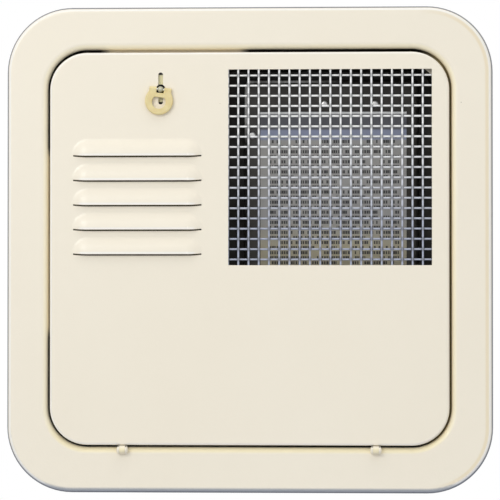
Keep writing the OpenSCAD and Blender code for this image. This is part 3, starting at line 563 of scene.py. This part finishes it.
coverHighlight = {
    "flange": 0.0045,  # the foot's flange, outside the raised part
    "corner": 0.006,
    "edge": (-0.0024, -0.0006),
    "colour": (0.99, 0.97, 0.90),
    "fadeAcross": (0.075, 0.035),  # the painted highlight is at the upper left, and fades to the right and down
    "fadeDown": (0.085, 0.105),
}


def makeCoverSheet():
    # the same sheet, with a painted highlight along the cover's bent edges at the upper left
    low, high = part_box("flue_cover")
    material, tree, shader, coords, colour = startDarkSheet("heat_stained_cover")
    edgeIn = coverHighlight["flange"]
    outer = useGroup(tree, outlines, **{
        "Vector": coords, "Half Width": (high.x - low.x) / 2 - edgeIn,
        "Half Height": (high.z - low.z) / 2 - edgeIn, "Corner": coverHighlight["corner"],
        "Middle X": (high.x + low.x) / 2, "Middle Z": (high.z + low.z) / 2})
    edge = between(tree, outer.outputs["Distance"], coverHighlight["edge"], 0.0004)
    highlightBreaks = useGroup(tree, clouds, Vector=coords, Scale=45.0, Contrast=2.5)
    edge = product(tree, edge, stretch(tree, highlightBreaks.outputs["Mask"], 0.2, 0.5, 0.6, 1),
                   stretch(tree, outer.outputs["Depth"], low.y + 0.005, low.y + 0.003))
    place = addNode(tree, "ShaderNodeSeparateXYZ", {"Vector": coords})
    edge = product(tree, edge, stretch(tree, place.outputs[0], *coverHighlight["fadeAcross"]),
                   stretch(tree, place.outputs[2], *coverHighlight["fadeDown"]))
    # painted highlight along the cover's bent edges
    colour = blendColour(tree, edge, colour, coverHighlight["colour"])
    tree.links.new(stretch(tree, edge, 0, 1, 0.35, 0), shader.inputs["Metallic"])
    tree.links.new(colour, shader.inputs["Base Color"])
    return material


foilLook = {
    "rowHeight": 0.00405,
    "dashWidth": 0.0019,
    "wordWidth": 0.0115,
    "ink": (0.020, 0.020, 0.022),
    "blueBand": (0.27, 0.30, 0.42),
    "middle": (0.365, 0.352, 0.325),
    "foot": (0.45, 0.40, 0.265),
    "lip": (0.10, 0.10, 0.108),
    # painted highlight along the plate's top edge
    "lipEdge": (0.97, 0.96, 0.92),
}


def makeFoil():
    # plain sheet that turns from bluish at its bend to yellowish at its foot, with a painted highlight along
    # its top edge and rows of short dark dashes printed across it
    low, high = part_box("foil_plate")
    material, tree, shader, coords = startMaterial("printed_foil", Metallic=0.3)
    split = addNode(tree, "ShaderNodeSeparateXYZ", {"Vector": coords})
    across, up = split.outputs[0], split.outputs[2]
    ramp = addNode(tree, "ShaderNodeValToRGB",
                   {"Fac": stretch(tree, up, low.z, high.z, 0, 1)})
    stops = ramp.color_ramp.elements
    stops[0].position, stops[0].color = 0.0, (*foilLook["foot"], 1)
    stops[1].position, stops[1].color = 1.0, (*foilLook["lipEdge"], 1)
    for place, name in ((0.22, "foot"), (0.38, "middle"), (0.835, "middle"), (0.85, "blueBand"),
                        (0.895, "blueBand"), (0.905, "lip"), (0.985, "lip"), (0.99, "lipEdge")):
        stop = stops.new(place)
        stop.color = (*foilLook[name], 1)
    wear = useGroup(tree, clouds, Vector=coords, Scale=26.0, Contrast=1.8)
    colour = blendColour(tree, stretch(tree, wear.outputs["Mask"], 0, 1, 0, 0.3),
                         ramp.outputs["Color"], (0.30, 0.30, 0.32))
    row = calc(tree, "DIVIDE", up, foilLook["rowHeight"])
    rowNumber = calc(tree, "FLOOR", row)
    fromMiddle = calc(tree, "SUBTRACT", calc(tree, "FRACT", row), 0.5)
    inRow = calc(tree, "LESS_THAN", calc(tree, "ABSOLUTE", fromMiddle), 0.31)
    dash = calc(tree, "DIVIDE", across, foilLook["dashWidth"])
    luckPlace = addNode(tree, "ShaderNodeCombineXYZ", {0: calc(tree, "FLOOR", dash), 1: rowNumber})
    dashLuck = addNode(tree, "ShaderNodeTexWhiteNoise", {"Vector": luckPlace.outputs[0]})
    dashOn = calc(tree, "GREATER_THAN", dashLuck.outputs["Value"], 0.14)
    dashBody = calc(tree, "LESS_THAN", calc(tree, "FRACT", dash),
                    stretch(tree, dashLuck.outputs["Value"], 0.14, 1, 0.55, 0.95))
    word = addNode(tree, "ShaderNodeCombineXYZ",
                   {0: calc(tree, "FLOOR", calc(tree, "DIVIDE", across, foilLook["wordWidth"])),
                    1: rowNumber, 2: 3.0})
    wordLuck = addNode(tree, "ShaderNodeTexWhiteNoise", {"Vector": word.outputs[0]})
    wordOn = calc(tree, "GREATER_THAN", wordLuck.outputs["Value"], 0.12)
    inPrint = calc(tree, "MULTIPLY", calc(tree, "GREATER_THAN", up, low.z + 0.004),
                   calc(tree, "LESS_THAN", up, high.z - 0.0185))
    inMargins = calc(tree, "MULTIPLY", calc(tree, "GREATER_THAN", across, low.x + 0.006),
                     calc(tree, "LESS_THAN", across, high.x - 0.006))
    ink = inRow
    for part in (dashOn, dashBody, wordOn, inPrint, inMargins):
        ink = calc(tree, "MULTIPLY", ink, part)
    ink = calc(tree, "MULTIPLY", ink, 0.9)
    colour = blendColour(tree, ink, colour, foilLook["ink"])
    tree.links.new(colour, shader.inputs["Base Color"])
    tree.links.new(stretch(tree, wear.outputs["Mask"], 0, 1, 0.42, 0.6), shader.inputs["Roughness"])
    drawn = useGroup(tree, scratches, Vector=coords, Stretch=(14, 1, 1), Scale=90.0)
    giveBump(tree, shader, drawn.outputs["Mask"], 0.25, 0.0001)
    return material


def makeFoam():
    material, tree, shader, coords = startMaterial("closed_cell_foam", Roughness=0.95)
    cells = addNode(tree, "ShaderNodeTexVoronoi", {"Vector": coords, "Scale": 1600.0})
    shade = blendColour(tree, cells.outputs["Distance"], (0.035, 0.035, 0.037), (0.085, 0.085, 0.09))
    tree.links.new(shade, shader.inputs["Base Color"])
    giveBump(tree, shader, cells.outputs["Distance"], 0.7, 0.0003)
    return material


def makeNylon():
    material, tree, shader, coords = startMaterial(
        "yellowed_nylon", Subsurface_Weight=0.12, Subsurface_Scale=0.002, IOR=1.5)
    shader.inputs["Subsurface Radius"].default_value = (1.0, 0.7, 0.35)
    age = useGroup(tree, clouds, Vector=coords, Scale=160.0, Contrast=1.8)
    colour = blendColour(tree, age.outputs["Mask"], (0.84, 0.71, 0.36), (0.74, 0.58, 0.25))
    tree.links.new(colour, shader.inputs["Base Color"])
    tree.links.new(stretch(tree, age.outputs["Mask"], 0, 1, 0.32, 0.46), shader.inputs["Roughness"])
    grain = useGroup(tree, clouds, Vector=coords, Scale=1400.0, Detail=2.0)
    giveBump(tree, shader, grain.outputs["Mask"], 0.2, 0.00005)
    return material


bracketLook = {
    # painted light: lighter and yellower than the frame's enamel
    "light": (0.98, 0.93, 0.60),
    "deep": (0.93, 0.84, 0.46),
    "bendShade": (0.020, 0.015, 0.012),  # painted shade on the bends at the bracket's root and tip
    "unshadedSpan": (0.1172, 0.1387),
    "fade": 0.0004,
}


def makeBracketPaint():
    # yellow enamel, painted lighter than the frame's to make up for the shade behind the door, with painted
    # shade on its bends
    material, tree, shader, coords = startMaterial("yellow_enamel_painted_lighter", Roughness=0.4)
    patches = useGroup(tree, clouds, Vector=coords, Scale=90.0, Contrast=1.6)
    colour = blendColour(tree, patches.outputs["Mask"], bracketLook["light"], bracketLook["deep"])
    up = addNode(tree, "ShaderNodeSeparateXYZ", {"Vector": coords}).outputs[2]
    unshadedSpan = between(tree, up, bracketLook["unshadedSpan"], bracketLook["fade"])
    colour = blendColour(tree, unshadedSpan, bracketLook["bendShade"], colour)
    tree.links.new(colour, shader.inputs["Base Color"])
    return material


studLook = {"shoulder": -0.0068, "holeShade": (0.012, 0.011, 0.010)}


def makeDullStud():
    material, tree, shader, coords = startMaterial("yellow_zinc", Metallic=0.6)
    haze = useGroup(tree, clouds, Vector=coords, Scale=400.0, Contrast=2.0)
    colour = blendColour(tree, haze.outputs["Mask"], (0.58, 0.57, 0.44), (0.40, 0.38, 0.26))
    depth = addNode(tree, "ShaderNodeSeparateXYZ", {"Vector": coords}).outputs[1]
    # painted shade on the stud behind its shoulder, in and behind the door's hole
    inHole = stretch(tree, depth, studLook["shoulder"] - 0.0002, studLook["shoulder"])
    colour = blendColour(tree, inHole, colour, studLook["holeShade"])
    tree.links.new(colour, shader.inputs["Base Color"])
    tree.links.new(stretch(tree, haze.outputs["Mask"], 0, 1, 0.45, 0.65), shader.inputs["Roughness"])
    giveBump(tree, shader, haze.outputs["Mask"], 0.3, 0.00005)
    return material


def makeBlackPlastic():
    material, tree, shader, coords = startMaterial("black_acetal", Roughness=0.6, Specular_IOR_Level=0.1)
    wear = useGroup(tree, clouds, Vector=coords, Scale=300.0, Contrast=2.0)
    # painted shade: near black, standing in for the shade in the latch hole round the stud
    colour = blendColour(tree, wear.outputs["Mask"], (0.008, 0.008, 0.009), (0.016, 0.016, 0.016))
    tree.links.new(colour, shader.inputs["Base Color"])
    giveBump(tree, shader, wear.outputs["Mask"], 0.3, 0.00005)
    return material


finishes = {
    "cream_paint": makeCreamPaint(),
    "galvanised_wire": makeZincWire("galvanised_wire_level", 0, wireLow.x + wireSize / 2, wirePitchX, 0.25),
    "plated_steel": makePlatedSteel(),
    "dark_sheet": makeDarkSheet(),
    "foil": makeFoil(),
    "foam": makeFoam(),
    "nylon": makeNylon(),
    "black_plastic": makeBlackPlastic(),
}
framePaint = makeFramePaint()
earPaint = makeEarPaint()
# pieces whose finish follows their own shape
ownFinishes = {
    "frame": framePaint,
    "hinge_bracket_left": framePaint,
    "hinge_bracket_right": framePaint,
    "door_panel": makeDoorPaint(),
    "hinge_ears_left": earPaint,
    "hinge_ears_right": earPaint,
    "flue_cover": makeCoverSheet(),
    "latch_bracket": makeBracketPaint(),
    "latch_stud": makeDullStud(),
    "screen_wires_upright": makeZincWire("galvanised_wire_upright", 2, levelLow.z + wireSize / 2,
                                         wirePitchZ, 0.6),
}
dullZinc = makeDullZinc()

for subpart in frame["record"]["subparts"]:
    node = cadNodes[subpart["node"]]
    for slot in node.material_slots:
        slot.material = ownFinishes.get(subpart["node"], finishes[subpart["material_slot"]])
print("finishes made")


# Pull ring: moulded, so all its edges are softened

ringSize = {"voxel": 0.00016, "smoothing": 26, "keep": 0.35}


def makePullRing():
    ring = mergedCopy("pull_ring", "pull_ring_moulded")
    applyModifier(ring, "REMESH", mode="VOXEL", voxel_size=ringSize["voxel"])
    applyModifier(ring, "SMOOTH", factor=0.5, iterations=ringSize["smoothing"])
    applyModifier(ring, "DECIMATE", ratio=ringSize["keep"])
    smoothShade(ring, 60)
    settle(ring, "ring", "nylon", finishes["nylon"], "pull_ring")


makePullRing()
print("pull ring moulded")

# Weld nuggets: the wires have sunk into each other where they cross

nuggetSize = {"radius": 0.00118, "depth": 0.00125, "segments": 8, "rings": 5}


def makeNuggets():
    middle = ((wireLow.y + wireHigh.y) / 2 + (levelLow.y + levelHigh.y) / 2) / 2
    bpy.ops.object.select_all(action="DESELECT")
    bpy.ops.mesh.primitive_uv_sphere_add(segments=nuggetSize["segments"], ring_count=nuggetSize["rings"],
                                         radius=nuggetSize["radius"])
    nuggets = bpy.context.object
    nuggets.name = "weld_nuggets"
    nuggets.scale.y = nuggetSize["depth"] / nuggetSize["radius"]
    nuggets.location = (wireLow.x + wireSize / 2, middle, levelLow.z + wireSize / 2)
    bakePlace(nuggets)
    applyModifier(nuggets, "ARRAY", count=wireCount, use_relative_offset=False,
                  use_constant_offset=True, constant_offset_displace=(wirePitchX, 0, 0))
    applyModifier(nuggets, "ARRAY", count=wireCount, use_relative_offset=False,
                  use_constant_offset=True, constant_offset_displace=(0, 0, wirePitchZ))
    smoothShade(nuggets, 60)
    settle(nuggets, "door", "galvanised_wire", dullZinc)


makeNuggets()
print("screen welded")

# Foil plate: thin sheet, a little rippled, with its top edge leaning out

foilSize = {
    "cuts": 47,
    "lipHeight": 0.0135,
    "lipSteps": ((0.12, 0.2), (0.42, 0.4), (0.46, 0.4)),  # shares of the lean and the height
    "ripple": 0.0005,
    "rippleLength": 0.022,
    "lift": 0.0003,
    "thickness": 0.00025,
}


def makeFoilPlate():
    low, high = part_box("foil_plate")
    bend = high.z - foilSize["lipHeight"]
    bpy.ops.object.select_all(action="DESELECT")
    bpy.ops.mesh.primitive_plane_add(size=1, rotation=(math.pi / 2, 0, 0), location=(
        (low.x + high.x) / 2, high.y - foilSize["lift"] - foilSize["thickness"], (low.z + bend) / 2))
    plate = bpy.context.object
    plate.name = "foil_plate_rippled"
    plate.scale = (high.x - low.x, bend - low.z, 1)
    bakePlace(plate)
    editMode(plate, "EDGE")
    bpy.ops.mesh.select_all(action="SELECT")
    bpy.ops.mesh.subdivide(number_cuts=foilSize["cuts"])
    bpy.ops.mesh.select_all(action="DESELECT")
    objectMode()
    corners = plate.data.vertices
    for edge in plate.data.edges:
        edge.select = all(corners[corner].co.z > bend - 1e-5 for corner in edge.vertices)
    bpy.ops.object.mode_set(mode="EDIT")
    lean = high.y - low.y
    for leanShare, heightShare in foilSize["lipSteps"]:
        move = (0, -lean * leanShare, foilSize["lipHeight"] * heightShare)
        bpy.ops.mesh.extrude_region_move(TRANSFORM_OT_translate={"value": move})
    objectMode()
    ripples = bpy.data.textures.new("foil_ripples", "CLOUDS")
    ripples.noise_scale = foilSize["rippleLength"]
    applyModifier(plate, "DISPLACE", texture=ripples, texture_coords="LOCAL", direction="Y",
                  strength=foilSize["ripple"], mid_level=1.0)
    applyModifier(plate, "SOLIDIFY", thickness=foilSize["thickness"], offset=0)
    smoothShade(plate, 40)
    settle(plate, "frame", "foil", finishes["foil"], "foil_plate")


makeFoilPlate()
print("foil plate rippled")

# Screws: pan heads with a cross recess and a thread; all are turned from one profile

screwSize = {
    "steps": 32,
    "headOuter": 1.9,  # all in shares of the shank's radius
    "headRim": 0.55,
    "headHeight": 1.25,
    "threads": 5,
    "threadDepth": 0.24,
    "recessWidth": 0.34,
    "recessLength": 1.9,
    "recessDepth": 0.65,
}


def turned(name, profile, steps):
    # spins a chain of (radius, height) points about the vertical axis
    bpy.ops.object.select_all(action="DESELECT")
    bpy.ops.mesh.primitive_plane_add(size=0.001)
    piece = bpy.context.object
    piece.name = name
    editMode(piece)
    bpy.ops.mesh.select_all(action="SELECT")
    bpy.ops.mesh.merge(type="CENTER")
    bpy.ops.transform.translate(value=(profile[0][0], 0, profile[0][1]))
    here = Vector((profile[0][0], 0, profile[0][1]))
    for radius, height in profile[1:]:
        there = Vector((radius, 0, height))
        bpy.ops.mesh.extrude_region_move(TRANSFORM_OT_translate={"value": there - here})
        here = there
    bpy.ops.mesh.select_all(action="SELECT")
    bpy.ops.mesh.spin(steps=steps, angle=math.tau, center=(0, 0, 0), axis=(0, 0, 1))
    bpy.ops.mesh.select_all(action="SELECT")
    bpy.ops.mesh.remove_doubles(threshold=1e-6)
    bpy.ops.mesh.normals_make_consistent(inside=False)
    objectMode()
    return piece


def makeScrew(shank, length):
    # the head stands on the joint face at height 0, and the point hangs below it
    size = screwSize
    head = shank * size["headOuter"]
    rim = shank * size["headRim"]
    top = shank * size["headHeight"]
    root = shank * (1 - size["threadDepth"])
    pitch = length / (size["threads"] + 1)
    profile = [(0, top), (head * 0.45, top * 0.97), (head * 0.75, top * 0.85), (head * 0.93, rim),
               (head, rim * 0.6), (head, rim * 0.15), (head * 0.94, 0), (root, 0)]
    for turn in range(size["threads"]):
        profile += [(root, -pitch * (turn + 0.35)), (shank, -pitch * (turn + 0.6)),
                    (root, -pitch * (turn + 0.85))]
    profile += [(root, -length * 0.9), (0, -length)]
    screw = turned("screw", profile, size["steps"])
    arm = shank * size["recessLength"]
    width = shank * size["recessWidth"]
    floor = top - shank * size["recessDepth"]
    for across in ((arm, width), (width, arm)):
        bpy.ops.object.select_all(action="DESELECT")
        bpy.ops.mesh.primitive_cube_add(size=1, location=(0, 0, floor + top / 2))
        cutter = bpy.context.object
        cutter.scale = (*across, top)
        bakePlace(cutter)
        applyModifier(screw, "BOOLEAN", object=cutter, operation="DIFFERENCE", solver="EXACT")
        bpy.data.objects.remove(cutter)
    smoothShade(screw, 35)
    return screw


def makeScrews(node, name, shank, length, spots):
    # spots hold the joint face's place, the head's direction and the turn of its recess
    pattern = makeScrew(shank, length)
    copies = []
    for place, direction, turn in spots:
        aim = Vector(direction).to_track_quat("Z", "Y") @ Quaternion((0, 0, 1), turn)
        copies.append(copyTo(pattern, name, place, aim.to_euler()))
    bpy.data.objects.remove(pattern)
    screws = joinAll(copies, name)
    settle(screws, "frame", "plated_steel", finishes["plated_steel"], node)


coverScrews = {"shank": 0.0015, "length": 0.0033, "middle": 0.0592, "turns": (0.3, 1.1, 0.7)}
shieldScrews = {"shank": 0.00175, "length": 0.0045, "sheet": 0.0008, "turns": (0.5, 0.9, 0.2, 1.3)}


def makeCoverScrews():
    low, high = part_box("cover_screws")
    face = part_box("flue_cover")[0].y
    head = coverScrews["shank"] * screwSize["headOuter"]
    places = [(coverScrews["middle"], high.z - head), (high.x - head, high.z - head),
              (low.x + head, low.z + head)]
    spots = [((across, face, up), (0, -1, 0), turn)
             for (across, up), turn in zip(places, coverScrews["turns"])]
    makeScrews("cover_screws", "cover_screws_turned", coverScrews["shank"], coverScrews["length"], spots)


def makeShieldScrews():
    low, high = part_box("shield_screws")
    shieldLow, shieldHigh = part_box("flue_shield")
    head = shieldScrews["shank"] * screwSize["headOuter"]
    depth = low.y + head
    across = low.x + head
    up = low.z + head
    topFace = shieldHigh.z - shieldScrews["sheet"]
    sideFace = shieldHigh.x - shieldScrews["sheet"]
    places = [((across, depth, topFace), (0, 0, -1)),
              ((shieldLow.x + shieldHigh.x - across, depth, topFace), (0, 0, -1)),
              ((sideFace, depth, up), (-1, 0, 0)),
              ((sideFace, depth, shieldLow.z + shieldHigh.z - up), (-1, 0, 0))]
    spots = [(place, aim, turn) for (place, aim), turn in zip(places, shieldScrews["turns"])]
    makeScrews("shield_screws", "shield_screws_turned", shieldScrews["shank"], shieldScrews["length"], spots)


makeCoverScrews()
makeShieldScrews()
print("screws turned")

# Floor, light and camera

stageLook = {
    "floorDrop": 0.5,
    "floorSize": 5.2,
    "floorColour": (0.56, 0.58, 0.62),
    "floorGlow": 0.82,  # share of plain white that the camera sees in the floor
    "ambient": (0.86, 0.90, 0.995),
    "ambientFront": 0.83,
    "ambientBack": 0.42,
}
# painted shade and a dim glow, standing in for the unlit space inside the wall, seen through the louvres and
# the latch's slot
backing = {"place": 0.0176, "corner": 0.019, "shieldCorner": 0.0194, "edgeGap": 0.0004,
           "colour": (0.058, 0.049, 0.030)}


def whiteForCamera(tree, shaded, white, share):
    # white that the camera and the gloss see, and that doesn't light the object
    path = addNode(tree, "ShaderNodeLightPath")
    seen = calc(tree, "MAXIMUM", path.outputs["Is Camera Ray"], path.outputs["Is Glossy Ray"])
    seen = calc(tree, "MAXIMUM", seen, path.outputs["Is Transmission Ray"])
    seen = calc(tree, "MULTIPLY", seen, share)
    mix = addNode(tree, "ShaderNodeMixShader", {0: seen})
    tree.links.new(shaded, mix.inputs[1])
    tree.links.new(white, mix.inputs[2])
    return mix.outputs[0]


def makeBacking():
    # dark, dimly glowing card inside the frame's collar, beside and below the flue shield: painted shade;
    # clear from behind
    shieldLow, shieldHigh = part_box("flue_shield")
    half = shieldHigh.x - backing["edgeGap"]
    top = shieldHigh.z - backing["edgeGap"]
    bottom = 2 * openingMiddle - top
    bpy.ops.object.select_all(action="DESELECT")
    bpy.ops.mesh.primitive_plane_add(size=1, rotation=(math.pi / 2, 0, 0),
                                     location=(0, backing["place"], openingMiddle))
    card = bpy.context.object
    card.name = "dark_backing"
    card.scale = (2 * half, top - bottom, 1)
    bakePlace(card)
    editMode(card)
    bpy.ops.mesh.select_all(action="SELECT")
    bpy.ops.mesh.bevel(offset=backing["corner"], segments=6, affect="VERTICES")
    objectMode()
    material = bpy.data.materials.new("unlit_space")
    material.use_nodes = True
    tree = material.node_tree
    shader = tree.nodes["Principled BSDF"]
    shader.inputs["Base Color"].default_value = (0.006, 0.005, 0.004, 1)
    # painted light: the card glows dim brown
    shader.inputs["Emission Color"].default_value = (*backing["colour"], 1)
    shader.inputs["Emission Strength"].default_value = 1.0
    shader.inputs["Roughness"].default_value = 1.0
    shader.inputs["Specular IOR Level"].default_value = 0.0
    fromBehind = addNode(tree, "ShaderNodeNewGeometry").outputs["Backfacing"]
    shield = useGroup(tree, outlines, **{
        "Vector": addNode(tree, "ShaderNodeTexCoord").outputs["Object"],
        "Half Width": (shieldHigh.x - shieldLow.x) / 2, "Half Height": (shieldHigh.z - shieldLow.z) / 2,
        "Corner": backing["shieldCorner"], "Middle X": (shieldHigh.x + shieldLow.x) / 2,
        "Middle Z": (shieldHigh.z + shieldLow.z) / 2})
    inShield = calc(tree, "LESS_THAN", shield.outputs["Distance"], 0.0002)
    clear = addNode(tree, "ShaderNodeBsdfTransparent")
    mix = addNode(tree, "ShaderNodeMixShader", {0: calc(tree, "MAXIMUM", fromBehind, inShield)})
    tree.links.new(shader.outputs[0], mix.inputs[1])
    tree.links.new(clear.outputs[0], mix.inputs[2])
    tree.links.new(mix.outputs[0], tree.nodes["Material Output"].inputs["Surface"])
    card.data.materials.append(material)


def makeStage():
    bpy.ops.object.select_all(action="DESELECT")
    bpy.ops.mesh.primitive_plane_add(size=stageLook["floorSize"],
                                     location=(0, 0, -stageLook["floorDrop"]))
    floor = bpy.context.object
    floor.name = "floor"
    material = bpy.data.materials.new("pale_floor")
    material.use_nodes = True
    tree = material.node_tree
    shader = tree.nodes["Principled BSDF"]
    shader.inputs["Base Color"].default_value = (*stageLook["floorColour"], 1)
    shader.inputs["Roughness"].default_value = 0.7
    white = addNode(tree, "ShaderNodeEmission", {"Color": (1, 1, 1, 1), "Strength": 1.0})
    seen = whiteForCamera(tree, shader.outputs[0], white.outputs[0], stageLook["floorGlow"])
    tree.links.new(seen, tree.nodes["Material Output"].inputs["Surface"])
    floor.data.materials.append(material)

    world = bpy.data.worlds.new("studio")
    bpy.context.scene.world = world
    world.use_nodes = True
    tree = world.node_tree
    dim = tree.nodes["Background"]
    dim.inputs["Color"].default_value = (*stageLook["ambient"], 1)
    # light comes mostly from the object's front
    direction = addNode(tree, "ShaderNodeTexCoord").outputs["Generated"]
    split = addNode(tree, "ShaderNodeSeparateXYZ", {"Vector": direction})
    strength = stretch(tree, split.outputs[1], 0.25, -0.25,
                       stageLook["ambientBack"], stageLook["ambientFront"])
    tree.links.new(strength, dim.inputs["Strength"])
    white = addNode(tree, "ShaderNodeBackground", {"Color": (1, 1, 1, 1), "Strength": 1.0})
    seen = whiteForCamera(tree, dim.outputs[0], white.outputs[0], 1.0)
    tree.links.new(seen, tree.nodes["World Output"].inputs["Surface"])


lamps = [
    {"name": "key", "place": (-1.0, -2.0, 1.0), "size": (1.0, 0.9), "power": 16,
     "colour": (1.0, 0.985, 0.95)},
    {"name": "top", "place": (0.1, -0.8, 1.9), "size": (2.0, 0.5), "power": 5,
     "colour": (1.0, 0.985, 0.96)},
    {"name": "low", "place": (0.3, -1.2, -0.42), "size": (1.2, 0.12), "power": 0.9,
     "colour": (1.0, 0.98, 0.94)},
]


def makeLamps():
    for lamp in lamps:
        light = bpy.data.lights.new(lamp["name"], "AREA")
        light.shape = "RECTANGLE"
        light.size, light.size_y = lamp["size"]
        light.energy = lamp["power"]
        light.color = lamp["colour"]
        holder = bpy.data.objects.new(lamp["name"], light)
        holder.location = lamp["place"]
        holder.rotation_euler = (-Vector(lamp["place"])).to_track_quat("-Z", "Y").to_euler()
        bpy.context.scene.collection.objects.link(holder)


cameraPlace = {
    "target": (0.0008, -0.006, -0.0003),
    "distance": 2.0,
    "azimuth": 2.5,
    "elevation": -0.8,
    "field": 0.3955,  # metres across the picture, at the target
}


def makeCamera():
    camera = bpy.data.objects.new("camera", bpy.data.cameras.new("camera"))
    bpy.context.scene.collection.objects.link(camera)
    turn = math.radians(cameraPlace["azimuth"])
    rise = math.radians(cameraPlace["elevation"])
    back = Vector((math.sin(turn) * math.cos(rise), -math.cos(turn) * math.cos(rise), math.sin(rise)))
    camera.location = Vector(cameraPlace["target"]) + back * cameraPlace["distance"]
    camera.rotation_euler = (-back).to_track_quat("-Z", "Y").to_euler()
    camera.data.sensor_width = 36
    camera.data.lens = camera.data.sensor_width * cameraPlace["distance"] / cameraPlace["field"]
    bpy.context.scene.camera = camera


makeStage()
makeBacking()
makeLamps()
makeCamera()
bpy.context.scene.view_settings.view_transform = "Standard"
print("stage, lamps and camera placed")
